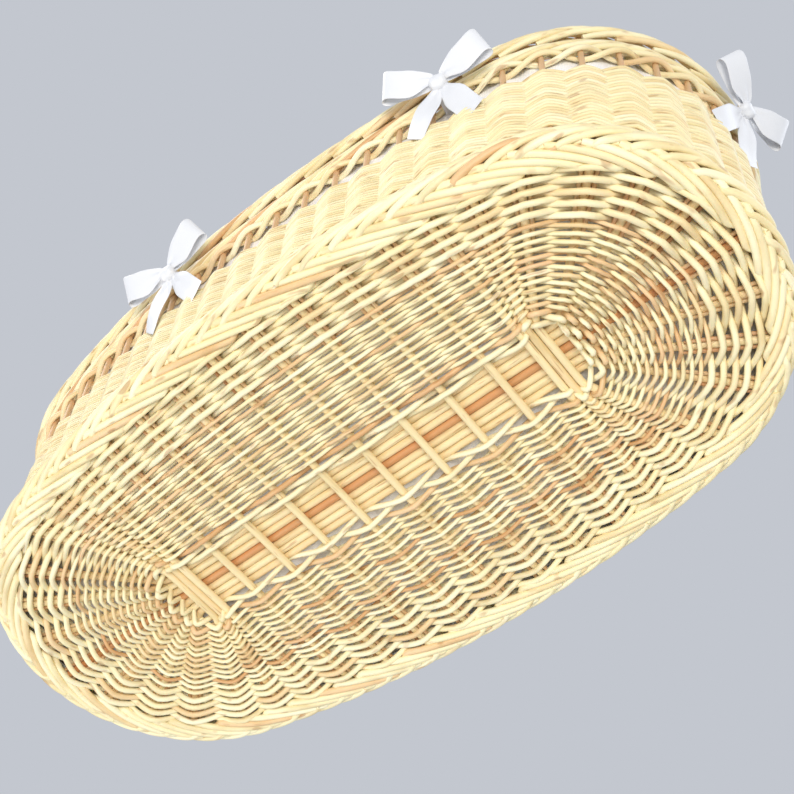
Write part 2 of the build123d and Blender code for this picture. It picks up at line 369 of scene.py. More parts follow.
@dataclass(frozen=True)
class FoamFinish:
    """Open-cell polyurethane foam, cut from a block: matt, with fine open cells."""

    name: str = "cut_polyurethane_foam"
    tint: str = "F2EBD2"
    cell_mm: float = 1.2

    def material(self) -> bpy.types.Material:
        """Material on Object coordinates."""
        material, tree = new_material(self.name)
        place = add_node(tree, "ShaderNodeTexCoord").outputs["Object"]
        cells = add_node(
            tree,
            "ShaderNodeTexVoronoi",
            inputs={"Vector": place, "Scale": 1 / (self.cell_mm * MM)},
        ).outputs["Distance"]
        # The open cells' pits are painted darker: painted shade in the cells.
        tone = ramp(tree, cells, [(0.0, "C9BF9C"), (0.5, self.tint)])
        bump = add_node(
            tree, "ShaderNodeBump", inputs={"Strength": 0.6, "Distance": 0.0008, "Height": cells}
        ).outputs[0]
        shader = add_node(
            tree,
            "ShaderNodeBsdfPrincipled",
            inputs={"Base Color": tone, "Normal": bump, "Roughness": 0.9},
        )
        add_node(tree, "ShaderNodeOutputMaterial", inputs={"Surface": shader.outputs[0]})
        return material


@dataclass
class Finishes:
    """All the finishes of the basket, made once."""

    # Peeled (white) willow: bark stripped in spring, so it is pale cream with a satin skin.
    white: WillowFinish = WillowFinish(
        "white_willow_peeled",
        ((0.0, "FCF4D2"), (0.45, "FAEDC0"), (0.72, "F4DEB0"), (0.88, "ECC89A"), (1.0, "DCAE7A")),
    )
    # Buff willow: boiled before peeling, so the tannin leaves it tan to reddish brown.
    # On the border's inner strokes this darker buff tone is painted shade.
    buff: WillowFinish = WillowFinish(
        "buff_willow_boiled",
        ((0.0, "EBD0A2"), (0.4, "DBB388"), (0.75, "C99A70"), (1.0, "B0825A")),
        roughness=(0.4, 0.6),
        scar="7E5230",
    )
    # Thicker sticks with the bark stripped by hand: streaky, from cream to orange.
    stick: WillowFinish = WillowFinish(
        "willow_stick_stripped",
        ((0.0, "F9ECC0"), (0.4, "F1D8A6"), (0.7, "E5BC8A"), (1.0, "CC8A52")),
        grain_mm=60.0,
    )
    # Washed cotton, plain woven: matt, each thread 0.5 mm and drawn at 1.5 mm to show.
    cotton: ClothFinish = ClothFinish(
        "cotton_plain_woven", tint="FFFFFF", hollow_shade="F0F1F3",
        thread_mm=1.5, roughness=0.85, sheen=0.25, relief_mm=0.25,
    )
    # Polyester satin: long floats on the face, so it is glossy along the ribbon.
    satin: ClothFinish = ClothFinish(
        "satin_ribbon_woven", tint="E6E7EA", hollow_shade="D6D8DC",
        thread_mm=0.9, roughness=0.34, sheen=0.3, relief_mm=0.05, gloss=0.5,
    )
    # Cotton ticking, close woven: 0.6 mm threads drawn at 1.8 mm to show.
    ticking: ClothFinish = ClothFinish(
        "cotton_ticking_woven", tint="F7F5EF", hollow_shade="DEDBD2",
        thread_mm=1.8, roughness=0.8, sheen=0.3, relief_mm=0.25,
    )
    foam: FoamFinish = FoamFinish()
    made: dict[str, bpy.types.Material] = field(default_factory=dict)

    def of(self, finish: WillowFinish | ClothFinish | FoamFinish) -> bpy.types.Material:
        """Material of a finish, made at its first use."""
        if finish.name not in self.made:
            self.made[finish.name] = finish.material()
        return self.made[finish.name]


# --- Form of the basket ---------------------------------------------------------


@dataclass(frozen=True)
class BasketForm:
    """The oval that the wall follows, and the rise of its rim.

    Every level is four arcs that meet at one corner angle.  A station is a place
    round the wall: whole numbers are stakes, counted from the head's right corner.
    """

    base_half_length: float = 0.357
    base_half_width: float = 0.174
    rim_half_length: float = 0.382
    rim_half_width: float = 0.192
    flare_height: float = 0.250
    corner: float = 78.0
    rim_middle: float = 0.190
    rim_head: float = 0.256
    rim_foot: float = 0.198
    stakes_per_end: int = 14
    stakes_per_side: int = 16

    @property
    def stakes(self) -> int:
        """Number of stakes round the wall."""
        return 2 * (self.stakes_per_end + self.stakes_per_side)

    def arcs(self, offset: float, height: float) -> tuple[float, float, float, float]:
        """Centres and radii of the oval, a set distance outside the stake line.

        Args:
            offset: Distance outside the stake line.
            height: Level of the oval.

        Returns:
            Centre and radius of the end arcs, then of the side arcs.
        """
        rise = height / self.flare_height
        half_length = self.base_half_length + (self.rim_half_length - self.base_half_length) * rise
        half_width = self.base_half_width + (self.rim_half_width - self.base_half_width) * rise
        half_length += offset
        half_width += offset
        angle = math.radians(self.corner)
        share = (1 - math.sin(angle)) / math.cos(angle)
        end_radius = (half_width - half_length * share) / (1 - share)
        end_centre = half_length - end_radius
        side_radius = end_radius + end_centre / math.cos(angle)
        return end_centre, end_radius, side_radius - half_width, side_radius

    def direction(self, station: float) -> float:
        """Outward direction at a station, in radians from +X."""
        station = (station + 0.5) % self.stakes
        ends, sides = self.stakes_per_end, self.stakes_per_side
        end_step = 2 * self.corner / ends
        side_step = (180 - 2 * self.corner) / sides
        degrees = -self.corner
        for count, step in ((ends, end_step), (sides, side_step), (ends, end_step)):
            if station <= count:
                return math.radians(degrees + station * step)
            degrees += count * step
            station -= count
        return math.radians(degrees + station * side_step)

    def outward(self, station: float) -> Vector:
        """Level unit vector out of the wall."""
        angle = self.direction(station)
        return Vector((math.cos(angle), math.sin(angle), 0))

    def wall(self, station: float, height: float, offset: float = 0.0) -> Vector:
        """Point of the wall at a station, a level and an offset."""
        return self.facing(self.direction(station), height, offset)

    def facing(self, angle: float, height: float, offset: float = 0.0) -> Vector:
        """Point of the wall that faces a direction, in radians from +X."""
        end_centre, end_radius, side_centre, side_radius = self.arcs(offset, height)
        along, across = math.cos(angle), math.sin(angle)
        if abs(along) > math.cos(math.radians(self.corner)):
            end = 1 if along > 0 else -1
            return Vector((end * end_centre + end_radius * along, end_radius * across, height))
        side = 1 if across > 0 else -1
        return Vector((side_radius * along, side_radius * across - side * side_centre, height))

    def rim(self, x: float) -> float:
        """Height of the border's top at a distance along the basket."""
        rise = (self.rim_head if x > 0 else self.rim_foot) - self.rim_middle
        radius = (self.rim_half_length**2 + rise**2) / (2 * rise)
        return self.rim_middle + radius - math.sqrt(radius**2 - x**2)

    def under_rim(self, station: float, drop: float, offset: float = 0.0) -> Vector:
        """Point of the wall at a drop below the border's top."""
        x = self.wall(station, self.rim_middle, offset).x
        level = self.rim(x) - drop
        return self.wall(station, level, offset)

    def holds(self, spot: Vector, height: float, offset: float) -> bool:
        """Whether a spot lies inside the oval of a level."""
        end_centre, end_radius, side_centre, side_radius = self.arcs(offset, height)
        if math.hypot(spot.x, abs(spot.y) + side_centre) > side_radius:
            return False
        beyond = abs(spot.x) - end_centre
        return beyond <= 0 or math.hypot(beyond, spot.y) <= end_radius

    def half_width_at(self, x: float, height: float, offset: float) -> float:
        """Half width of the oval on its side arcs."""
        _, _, side_centre, side_radius = self.arcs(offset, height)
        return math.sqrt(side_radius**2 - x**2) - side_centre

    def reach_to_end(self, start: Vector, way: Vector, height: float, offset: float) -> float:
        """Distance from a point of the base to its end arc, along a direction."""
        end_centre, end_radius, _, _ = self.arcs(offset, height)
        side = 1 if start.x > 0 else -1
        along = (start.x - side * end_centre) * way.x + start.y * way.y
        gap = (start.x - side * end_centre) ** 2 + start.y**2 - end_radius**2
        return math.sqrt(along**2 - gap) - along


# --- Rods -----------------------------------------------------------------------


def rod_sweep_tree() -> bpy.types.NodeTree:
    """Geometry Nodes tree that gives round rods to centre lines.

    Returns:
        The tree, with inputs Sides and Finish.
    """
    tree = bpy.data.node_groups.new("rod_sweep", "GeometryNodeTree")
    face = tree.interface
    face.new_socket("Geometry", in_out="INPUT", socket_type="NodeSocketGeometry")
    face.new_socket("Sides", in_out="INPUT", socket_type="NodeSocketInt")
    face.new_socket("Finish", in_out="INPUT", socket_type="NodeSocketMaterial")
    face.new_socket("Geometry", in_out="OUTPUT", socket_type="NodeSocketGeometry")
    source = add_node(tree, "NodeGroupInput")
    lines = add_node(
        tree, "GeometryNodeMeshToCurve", inputs={"Mesh": source.outputs["Geometry"]}
    ).outputs["Curve"]
    thickness = add_node(
        tree, "GeometryNodeInputNamedAttribute", {"data_type": "FLOAT"}, {"Name": "rod_radius"}
    ).outputs["Attribute"]
    ring = add_node(
        tree,
        "GeometryNodeCurvePrimitiveCircle",
        inputs={"Resolution": source.outputs["Sides"], "Radius": 1.0},
    ).outputs["Curve"]
    turn = add_node(tree, "GeometryNodeSplineParameter").outputs["Factor"]
    marked = add_node(
        tree,
        "GeometryNodeStoreNamedAttribute",
        {"data_type": "FLOAT", "domain": "POINT"},
        {"Geometry": ring, "Name": "around", "Value": turn},
    ).outputs["Geometry"]
    swept = add_node(
        tree,
        "GeometryNodeCurveToMesh",
        inputs={"Curve": lines, "Profile Curve": marked, "Scale": thickness, "Fill Caps": True},
    ).outputs["Mesh"]
    smooth = add_node(
        tree, "GeometryNodeSetShadeSmooth", inputs={"Geometry": swept}
    ).outputs["Geometry"]
    finished = add_node(
        tree,
        "GeometryNodeSetMaterial",
        inputs={"Geometry": smooth, "Material": source.outputs["Finish"]},
    ).outputs["Geometry"]
    real = add_node(
        tree, "GeometryNodeRealizeInstances", inputs={"Geometry": finished}
    ).outputs["Geometry"]
    add_node(tree, "NodeGroupOutput", inputs={"Geometry": real})
    return tree


def tuft_tree() -> bpy.types.NodeTree:
    """Geometry Nodes tree that ties a small thread tuft at every point.

    Returns:
        The tree, with inputs Radius and Finish.
    """
    tree = bpy.data.node_groups.new("tufts", "GeometryNodeTree")
    face = tree.interface
    face.new_socket("Geometry", in_out="INPUT", socket_type="NodeSocketGeometry")
    face.new_socket("Radius", in_out="INPUT", socket_type="NodeSocketFloat")
    face.new_socket("Finish", in_out="INPUT", socket_type="NodeSocketMaterial")
    face.new_socket("Geometry", in_out="OUTPUT", socket_type="NodeSocketGeometry")
    source = add_node(tree, "NodeGroupInput")
    bead = add_node(
        tree,
        "GeometryNodeMeshUVSphere",
        inputs={"Segments": 10, "Rings": 6, "Radius": source.outputs["Radius"]},
    ).outputs["Mesh"]
    tied = add_node(
        tree,
        "GeometryNodeInstanceOnPoints",
        inputs={"Points": source.outputs["Geometry"], "Instance": bead, "Scale": (1.0, 1.0, 0.4)},
    ).outputs["Instances"]
    real = add_node(
        tree, "GeometryNodeRealizeInstances", inputs={"Geometry": tied}
    ).outputs["Geometry"]
    finished = add_node(
        tree,
        "GeometryNodeSetMaterial",
        inputs={"Geometry": real, "Material": source.outputs["Finish"]},
    ).outputs["Geometry"]
    add_node(tree, "NodeGroupOutput", inputs={"Geometry": finished})
    return tree


def grown(
    name: str, mesh: bpy.types.Mesh, tree: bpy.types.NodeTree, values: dict[str, Any]
) -> bpy.types.Object:
    """Runs a Geometry Nodes tree on a mesh and keeps the result as a plain piece.

    Args:
        name: Name of the piece.
        mesh: What the tree starts from, which is used up.
        tree: The tree.
        values: The tree's inputs by name.

    Returns:
        The piece.
    """
    holder = bpy.data.objects.new(name + "_seed", mesh)
    bpy.context.scene.collection.objects.link(holder)
    modifier = holder.modifiers.new("grow", "NODES")
    modifier.node_group = tree
    set_tree_inputs(modifier, values)
    graph = bpy.context.evaluated_depsgraph_get()
    made = bpy.data.meshes.new_from_object(holder.evaluated_get(graph))
    made.name = name
    bpy.data.objects.remove(holder)
    bpy.data.meshes.remove(mesh)
    piece = bpy.data.objects.new(name, made)
    bpy.context.scene.collection.objects.link(piece)
    return piece


def set_tree_inputs(modifier: bpy.types.Modifier, values: dict[str, Any]) -> None:
    """Sets a Geometry Nodes modifier's inputs, found by name, through their identifiers."""
    for item in modifier.node_group.interface.items_tree:
        if item.item_type == "SOCKET" and item.in_out == "INPUT" and item.name in values:
            modifier[item.identifier] = values[item.name]


def settle(
    piece: bpy.types.Object,
    body: Body,
    slot: Slot,
    replaced: Iterable[str] = (),
) -> None:
    """Puts a finished piece on its body, and hides the CAD nodes that it stands for.

    Args:
        piece: The object, at the origin with its place in its mesh.
        body: Body that it rides on.
        slot: The record's material slot; not used.
        replaced: CAD nodes that it stands for.
    """
    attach(piece, body.value)
    nodes = list(replaced)
    if nodes:
        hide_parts(*nodes)
    log.info("%s: %d faces on %s", piece.name, len(piece.data.polygons), body.value)


@dataclass
class RodBundle:
    """Rods of one sub-assembly, kept as centre lines until they are swept.

    Attributes:
        name: Name of the piece.
        seed: Seed of the rods' tones.
        dark_share: Share of the rods that are clearly darker than the rest.
    """

    name: str
    seed: int
    dark_share: float = 0.1
    lines: list[np.ndarray] = field(default_factory=list)
    radii: list[np.ndarray] = field(default_factory=list)
    tints: list[float] = field(default_factory=list)

    def __post_init__(self) -> None:
        """Starts the bundle's own random source."""
        self.chance = random.Random(self.seed)

    def tone(self) -> float:
        """Tone of a rod, from pale to dark."""
        if self.chance.random() < self.dark_share:
            return self.chance.uniform(0.72, 1.0)
        return min(0.7, abs(self.chance.gauss(0.28, 0.2)))

    def lay(
        self,
        line: Sequence[Vector],
        radius: float | Sequence[float],
        tint: float | None = None,
        point: tuple[float, float] = (1.0, 1.0),
    ) -> None:
        """Lays one rod.

        Args:
            line: Its centre line.
            radius: One radius, or one for each point of the line.
            tint: Its tone, or None for a chance one.
            point: How thin it is at its two ends, as shares of its radius.
        """
        spots = np.array([tuple(p) for p in line], float)
        sizes = np.full(len(spots), radius) if np.isscalar(radius) else np.array(radius, float)
        tip = max(1, min(4, len(spots) // 4))
        for step in range(tip):
            share = (step + 0.5) / tip
            sizes[step] *= point[0] + (1 - point[0]) * share
            sizes[-1 - step] *= point[1] + (1 - point[1]) * share
        self.lines.append(spots)
        self.radii.append(sizes)
        self.tints.append(self.tone() if tint is None else tint)

    def build(
        self, tree: bpy.types.NodeTree, finish: bpy.types.Material, sides: int
    ) -> bpy.types.Object:
        """Sweeps the rods into one plain mesh.

        Args:
            tree: The sweeping tree.
            finish: Material of the rods.
            sides: Sides of a rod.

        Returns:
            The piece.
        """
        spots = np.concatenate(self.lines)
        edges, start = [], 0
        for line in self.lines:
            ends = np.arange(start, start + len(line) - 1)
            edges.append(np.stack([ends, ends + 1], axis=1))
            start += len(line)
        along = [
            np.concatenate([[0.0], np.cumsum(np.linalg.norm(np.diff(line, axis=0), axis=1))])
            for line in self.lines
        ]
        values = {
            "rod_radius": np.concatenate(self.radii),
            "along": np.concatenate([a + 0.37 * i for i, a in enumerate(along)]),
            "tint": np.repeat(self.tints, [len(line) for line in self.lines]),
        }
        mesh = bpy.data.meshes.new(self.name + "_lines")
        mesh.from_pydata(spots.tolist(), np.concatenate(edges).tolist(), [])
        for name, numbers in values.items():
            attribute = mesh.attributes.new(name, "FLOAT", "POINT")
            attribute.data.foreach_set("value", numbers.astype(np.float32))
        return grown(self.name, mesh, tree, {"Sides": sides, "Finish": finish})


def weave(
    bundle: RodBundle,
    stations: int,
    phase: int,
    per_gap: int,
    rod_gaps: tuple[int, int],
    place: Callable[[float, float], Vector],
    size: Callable[[float], float],
) -> None:
    """Lays one round of plain weave as several rods, each tucked behind at both ends.

    Args:
        bundle: Bundle that gets the rods.
        stations: Uprights round the loop, an even number.
        phase: 0 where the round is in front at even uprights, 1 at odd ones.
        per_gap: Points from one upright to the next.
        rod_gaps: Fewest and most gaps that one rod covers.
        place: Point at a station and a share, from 1 in front to -1 behind.
        size: Radius at a station.
    """
    first = 1 + phase + 2 * bundle.chance.randrange(stations // 2)
    start = first
    while start < first + stations:
        length = 2 * (bundle.chance.randint(*rod_gaps) // 2)
        end = min(start + length, first + stations)
        if first + stations - end < 4:
            end = first + stations
        steps = (end - start) * per_gap
        line, radii = [], []
        for step in range(steps + 1):
            station = start + step / per_gap
            front = math.cos(math.pi * (station + phase))
            line.append(place(station, front))
            radii.append(size(station))
        bundle.lay(line, radii, point=(0.9, 0.6))
        start = end


def straight_run(front: float) -> float:
    """The share from 1 in front to -1 behind, for a rod that runs straight between uprights."""
    return 1 - 2 * math.acos(max(-1.0, min(1.0, front))) / math.pi


@dataclass(frozen=True)
class Wale:
    """A band of wale: each rod passes in front of all stakes but one, then behind one.

    Attributes:
        rods: Rods worked in turn.
        radius: Radius of a rod.
        lean: Half of the band's width, which a stroke crosses as it runs.
        front: How far the strokes stand in front of the band's centre line.
        back: How far behind it the rods pass.
        per_gap: Points from one stake to the next.
        slant: 1 or -1, the side to which the strokes lean.
    """

    rods: int
    radius: float
    lean: float
    front: float
    back: float
    per_gap: int = 6
    slant: int = 1

    def offsets(self, share: float) -> tuple[float, float]:
        """Where a rod is at a share of its cycle.

        Args:
            share: From 0, as the stroke starts, to 1.

        Returns:
            Its place across the band and in front of it.
        """
        shown = (self.rods - 1) / self.rods
        if share < shown:
            run = share / shown
            across = self.lean * (2 * run - 1)
            bulge = math.sin(math.pi * run) ** 0.6 if 0 < run < 1 else 0.0
            return across * self.slant, -0.2 * self.back + (self.front + 0.2 * self.back) * bulge
        run = (share - shown) / (1 - shown)
        across = self.lean * (1 - 2 * smoothstep(run))
        return across * self.slant, -0.2 * self.back - 0.8 * self.back * math.sin(math.pi * run)

    def lay(
        self,
        bundle: RodBundle,
        stations: int,
        line: Callable[[float], tuple[Vector, Vector, Vector]],
        shift: float = 0.0,
    ) -> None:
        """Lays the whole band.

        Args:
            bundle: Bundle that gets the rods.
            stations: Stakes round the band, a multiple of the number of rods.
            line: Centre, front and across directions at a station.
            shift: Start of the strokes, in stations.
        """
        for rod in range(self.rods):
            cycles = stations // self.rods
            cycle = 0
            while cycle < cycles:
                count = min(bundle.chance.randint(2, 4), cycles - cycle)
                spots = []
                steps = count * self.rods * self.per_gap
                for step in range(steps + 1):
                    run = cycle + step / (self.rods * self.per_gap)
                    station = rod + shift + run * self.rods
                    across, front = self.offsets(run % 1.0)
                    centre, out, side = line(station)
                    spots.append(centre + out * front + side * across)
                bundle.lay(spots, self.radius * bundle.chance.uniform(0.92, 1.06), point=(0.9, 0.7))
                cycle += count


# --- Base -----------------------------------------------------------------------


@dataclass
class BaseMat:
    """Base of the basket: a mat woven round the sticks that fan out from the strip.

    Attributes:
        form: Oval of the basket.
        level: Height of the sticks' axes.
        stick_radius: Radius of a cross stick.
        liners: Liner rods laid side by side.
        liner_pitch: Spacing of the liners.
        strip_half_width: Half width of the strip of liners.
        strip_half_length: Where the liners start to fan out.
        stick_pitch: Spacing of the cross sticks.
        single_sticks: Single cross sticks.
        triple_pitch: Spacing inside the group of three at each end.
        fan_step: Angle from one radial to the next, in degrees.
        edge: Distance of the sticks' tips from the stake line.
        depth: Distance from the strip that stands for a share of 1.
        first_rounds_mm: Distance from the strip and rod radius of the first rounds.
        fine_mm: Start, end, pitch and rod radius of the fine rounds.
        stout_mm: The same for the stout rounds, which start that far past the fine ones.
    """

    form: BasketForm
    level: float = 0.0086
    stick_radius: float = 0.0032
    liners: int = 7
    liner_pitch: float = 0.007
    strip_half_width: float = 0.0244
    strip_half_length: float = 0.2043
    stick_pitch: float = 0.041
    single_sticks: int = 8
    triple_pitch: float = 0.0068
    fan_step: float = 15.0
    edge: float = -0.0105
    depth: float = 0.139
    first_rounds_mm: tuple[tuple[float, float], ...] = ((2.2, 2.4), (7.6, 2.5), (13.2, 2.4))
    fine_mm: tuple[float, float, float, float] = (17.4, 92, 3.55, 1.75)
    stout_mm: tuple[float, float, float, float] = (0.9, 137.5, 4.75, 2.7)
    starts: list[Vector] = field(default_factory=list)
    tips: list[Vector] = field(default_factory=list)

    def __post_init__(self) -> None:
        """Sets out the radials, counted from +X round to the left."""
        quarter = self._quarter()
        middle = (Vector((self.strip_half_length, 0)), 0.0)
        ring = [middle] + quarter
        ring += [(Vector((-s.x, s.y)), 180 - a) for s, a in reversed(quarter)]
        ring += [(-middle[0], 180.0)]
        ring += [(-s, 180 + a) for s, a in quarter]
        ring += [(Vector((s.x, -s.y)), 360 - a) for s, a in reversed(quarter)]
        for start, angle in ring:
            way = Vector((math.cos(math.radians(angle)), math.sin(math.radians(angle))))
            if abs(way.x) < 1e-6:
                far = self.form.half_width_at(start.x, self.level, self.edge) - abs(start.y)
            else:
                far = self.form.reach_to_end(start, way, self.level, self.edge)
            self.starts.append(start)
            self.tips.append(start + way * far)

    def _quarter(self) -> list[tuple[Vector, float]]:
        """Start and direction of the radials from the middle liner to the middle of one side."""
        found = []
        for row in range(1, (self.liners - 1) // 2 + 1):
            start = Vector((self.strip_half_length, row * self.liner_pitch))
            found.append((start, row * self.fan_step))
        triple = self.stick_pitch * (self.single_sticks + 1) / 2
        bend = self.strip_half_width + 2 * self.stick_radius
        for index in (2, 1, 0):
            x = triple + self.triple_pitch * (index - 1)
            start = Vector((x, bend if index else self.strip_half_width))
            found.append((start, 90 - index * self.fan_step))
        for index in range(self.single_sticks // 2):
            x = self.stick_pitch * ((self.single_sticks - 1) / 2 - index)
            found.append((Vector((x, self.strip_half_width)), 90.0))
        return found

    def place(self, station: float, share: float) -> Vector:
        """Point of the base at a station and a share of the way from the strip to the edge."""
        count = len(self.starts)
        index = math.floor(station)
        t = station - index
        spots = [
            self.starts[(index + k) % count].lerp(self.tips[(index + k) % count], share)
            for k in (-1, 0, 1, 2)
        ]
        a, b, c, d = spots
        ab, bc, cd = (max(1e-5, (q - p).length) ** 0.5 for p, q in ((a, b), (b, c), (c, d)))
        into = ((b - a) / ab - (c - a) / (ab + bc) + (c - b) / bc) * bc
        out = ((c - b) / bc - (d - b) / (bc + cd) + (d - c) / cd) * bc
        t2, t3 = t * t, t * t * t
        return (
            b * (2 * t3 - 3 * t2 + 1) + into * (t3 - 2 * t2 + t)
            + c * (3 * t2 - 2 * t3) + out * (t3 - t2)
        )

    def spacing(self, station: float, share: float) -> float:
        """Distance from one radial to the next near a station."""
        near = math.floor(station)
        return (self.place(near + 1, share) - self.place(near, share)).length

    def rows(self) -> list[tuple[float, float]]:
        """Distance from the strip and rod radius of every round."""
        found = list(self.first_rounds_mm)
        distance = 0.0
        for start, end, pitch, radius in (self.fine_mm, self.stout_mm):
            distance += start
            while distance < end:
                found.append((distance, radius))
                distance += pitch
        return [(d * MM, r * MM) for d, r in found]

    def weave_mat(self) -> RodBundle:
        """Rounds of plain weave, fine near the strip and stout near the edge."""
        bundle = RodBundle("base_weave_rods", seed=11, dark_share=0.12)
        count = len(self.starts)
        for index, (distance, radius) in enumerate(self.rows()):
            wobble = bundle.chance.uniform(0, 40)

            def size(station: float, radius: float = radius, distance: float = distance) -> float:
                return min(radius, 0.30 * self.spacing(station, distance / self.depth))

            def place(
                station: float,
                front: float,
                radius: float = radius,
                distance: float = distance,
                wobble: float = wobble,
            ) -> Vector:
                here = size(station)
                stray = 0.5 * MM * noise.noise(Vector((station * 0.7, wobble, 0.0)))
                kink = straight_run(front)
                run = distance + 0.40 * (here + radius) * kink + stray
                flat = self.place(station, run / self.depth)
                return Vector((flat.x, flat.y, self.level - (self.stick_radius + here) * front))

            weave(bundle, count, index % 2, 8 if radius > 0.002 else 6, (8, 20), place, size)
        return bundle

    def stake_legs(self) -> RodBundle:
        """Thin stake ends pushed into the base beside every stick, where they turn up."""
        bundle = RodBundle("base_stake_legs", seed=12, dark_share=0.06)
        for start, tip in zip(self.starts, self.tips):
            way = (tip - start).normalized()
            side = Vector((-way.y, way.x))
            for hand in (-1, 1):
                aside = side * hand * (self.stick_radius + 0.0019)
                begin = bundle.chance.uniform(0.52, 0.66)
                near, far = start.lerp(tip, begin) + aside * 0.86, tip + way * 0.004 + aside * 1.15
                line = [near.lerp(far, step / 5) for step in range(6)]
                spots = [Vector((p.x, p.y, self.level + 0.0004)) for p in line]
                bundle.lay(spots, 0.0018, point=(0.4, 1.0))
        return bundle

    def dress_frame(self, finishes: Finishes) -> None:
        """Gives the liners and cross sticks their own tones of stripped willow."""
        finish = finishes.stick
        middle = (self.liners + 1) // 2
        for row in range(1, self.liners + 1):
            tone = 0.97 if row == middle else (0.16, 0.38)[row % 2]
            material = finish.stick_material(f"{finish.name}_liner_{row}", tone, Axis.X)
            dress(f"base_liner_rod_{row}", material)
        for index in range(1, self.single_sticks + 1):
            tone = 0.1 + 0.05 * (index % 3)
            material = finish.stick_material(f"{finish.name}_cross_{index}", tone, Axis.Y)
            dress(f"cross_stick_{index}", material)
        for end in ("head", "foot"):
            for index in (1, 2, 3):
                tone = (0.12, 0.34, 0.2)[index - 1]
                material = finish.stick_material(f"{finish.name}_{end}_{index}", tone, Axis.Y)
                dress(f"cross_stick_{end}_{index}", material)

    def build(self, tree: bpy.types.NodeTree, finishes: Finishes) -> None:
        """Builds and places the base."""
        mat = self.weave_mat().build(tree, finishes.of(finishes.white), 6)
        settle(mat, Body.BASKET, Slot.WHITE_WILLOW, ["base_weave"])
        legs = self.stake_legs().build(tree, finishes.of(finishes.buff), 6)
        settle(legs, Body.BASKET, Slot.BUFF_WILLOW)
        self.dress_frame(finishes)


def dress(node: str, material: bpy.types.Material) -> None:
    """Gives a CAD node its finish."""
    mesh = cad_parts[node].data
    mesh.materials.clear()
    mesh.materials.append(material)
    log.info("%s: dressed in %s", node, material.name)


# --- Wall -----------------------------------------------------------------------


@dataclass
class Wall:
    """Wall of the basket, from the foot wale to the open row.

    Attributes:
        form: Oval of the basket.
        rounds: Rounds of fine randing.
        randing_from: Level where the randing starts.
        gap_drop: Drop of the wall's top below the border's top.
        top_clearance: Distance of the last round's axis below the wall's top.
        middle_level: Level at which a stake's place along the basket is read.
        reach: How far a rod stands off the stake line where it passes a stake.
        lift: Rise of a rod where it passes in front of a stake.
    """

    form: BasketForm
    rounds: int = 40
    randing_from: float = 0.038
    gap_drop: float = 0.078
    top_clearance: float = 0.0015
    middle_level: float = 0.14
    reach: float = 0.0040
    lift: float = 0.0018

    def level(self, station: float, share: float) -> float:
        """Level of a round: flat at the bottom, and along the rim at the top."""
        x = self.form.wall(station, self.middle_level).x
        top = self.form.rim(x) - self.gap_drop - self.top_clearance
        return self.randing_from + (top - self.randing_from) * share

    def randing(self, name: str, seed: int, first: int, last: int) -> RodBundle:
        """Rounds of fine plain weave.

        Args:
            name: Name of the piece.
            seed: Seed of the tones.
            first: First round.
            last: Round after the last.

        Returns:
            The rods.
        """
        bundle = RodBundle(name, seed, dark_share=0.03)
        step = 1 / (self.rounds - 1)

        def size(station: float) -> float:
            pitch = (self.level(station, 1.0) - self.randing_from) * step
            return min(0.0022, 0.57 * pitch)

        for index in range(first, last):
            share = index * step
            wobble = bundle.chance.uniform(0, 40)

            def place(
                station: float, front: float, share: float = share, wobble: float = wobble
            ) -> Vector:
                stray = 0.35 * MM * noise.noise(Vector((station * 0.8, wobble, 0.0)))
                kink = straight_run(front)
                level = self.level(station, share) + self.lift * kink + stray
                return self.form.wall(station, level, self.reach * (0.45 * front + 0.55 * kink))

            weave(bundle, self.form.stakes, index % 2, 8, (16, 34), place, size)
        return bundle

    def upsett(self) -> RodBundle:
        """Rounds of stout wale that stiffen the bottom of the wall."""
        bundle = RodBundle("upsett_wale_rods", seed=23, dark_share=0.08)
        wale = Wale(rods=3, radius=0.0029, lean=0.0050, front=0.0046, back=0.0044)
        for level, shift in ((0.0205, 0.0), (0.0290, 1.4)):
            def line(station: float, level: float = level) -> tuple[Vector, Vector, Vector]:
                return self.form.wall(station, level), self.form.outward(station), Vector((0, 0, 1))

            wale.lay(bundle, self.form.stakes, line, shift)
        return bundle

    def build(self, tree: bpy.types.NodeTree, finishes: Finishes) -> None:
        """Builds and places the wall."""
        half = self.rounds // 2
        white = finishes.of(finishes.white)
        lower = self.randing("wall_randing_lower", 21, 0, half).build(tree, white, 6)
        settle(lower, Body.BASKET, Slot.WHITE_WILLOW, ["wall_weave"])
        upper = self.randing("wall_randing_upper", 22, half, self.rounds).build(tree, white, 6)
        settle(upper, Body.BASKET, Slot.WHITE_WILLOW)
        upsett = self.upsett().build(tree, white, 8)
        settle(upsett, Body.BASKET, Slot.WHITE_WILLOW)
        material = finishes.buff.stick_material("buff_willow_stake", 0.35, Axis.Z)
        for group in ("head", "foot", "left", "right"):
            dress(f"stakes_{group}", material)


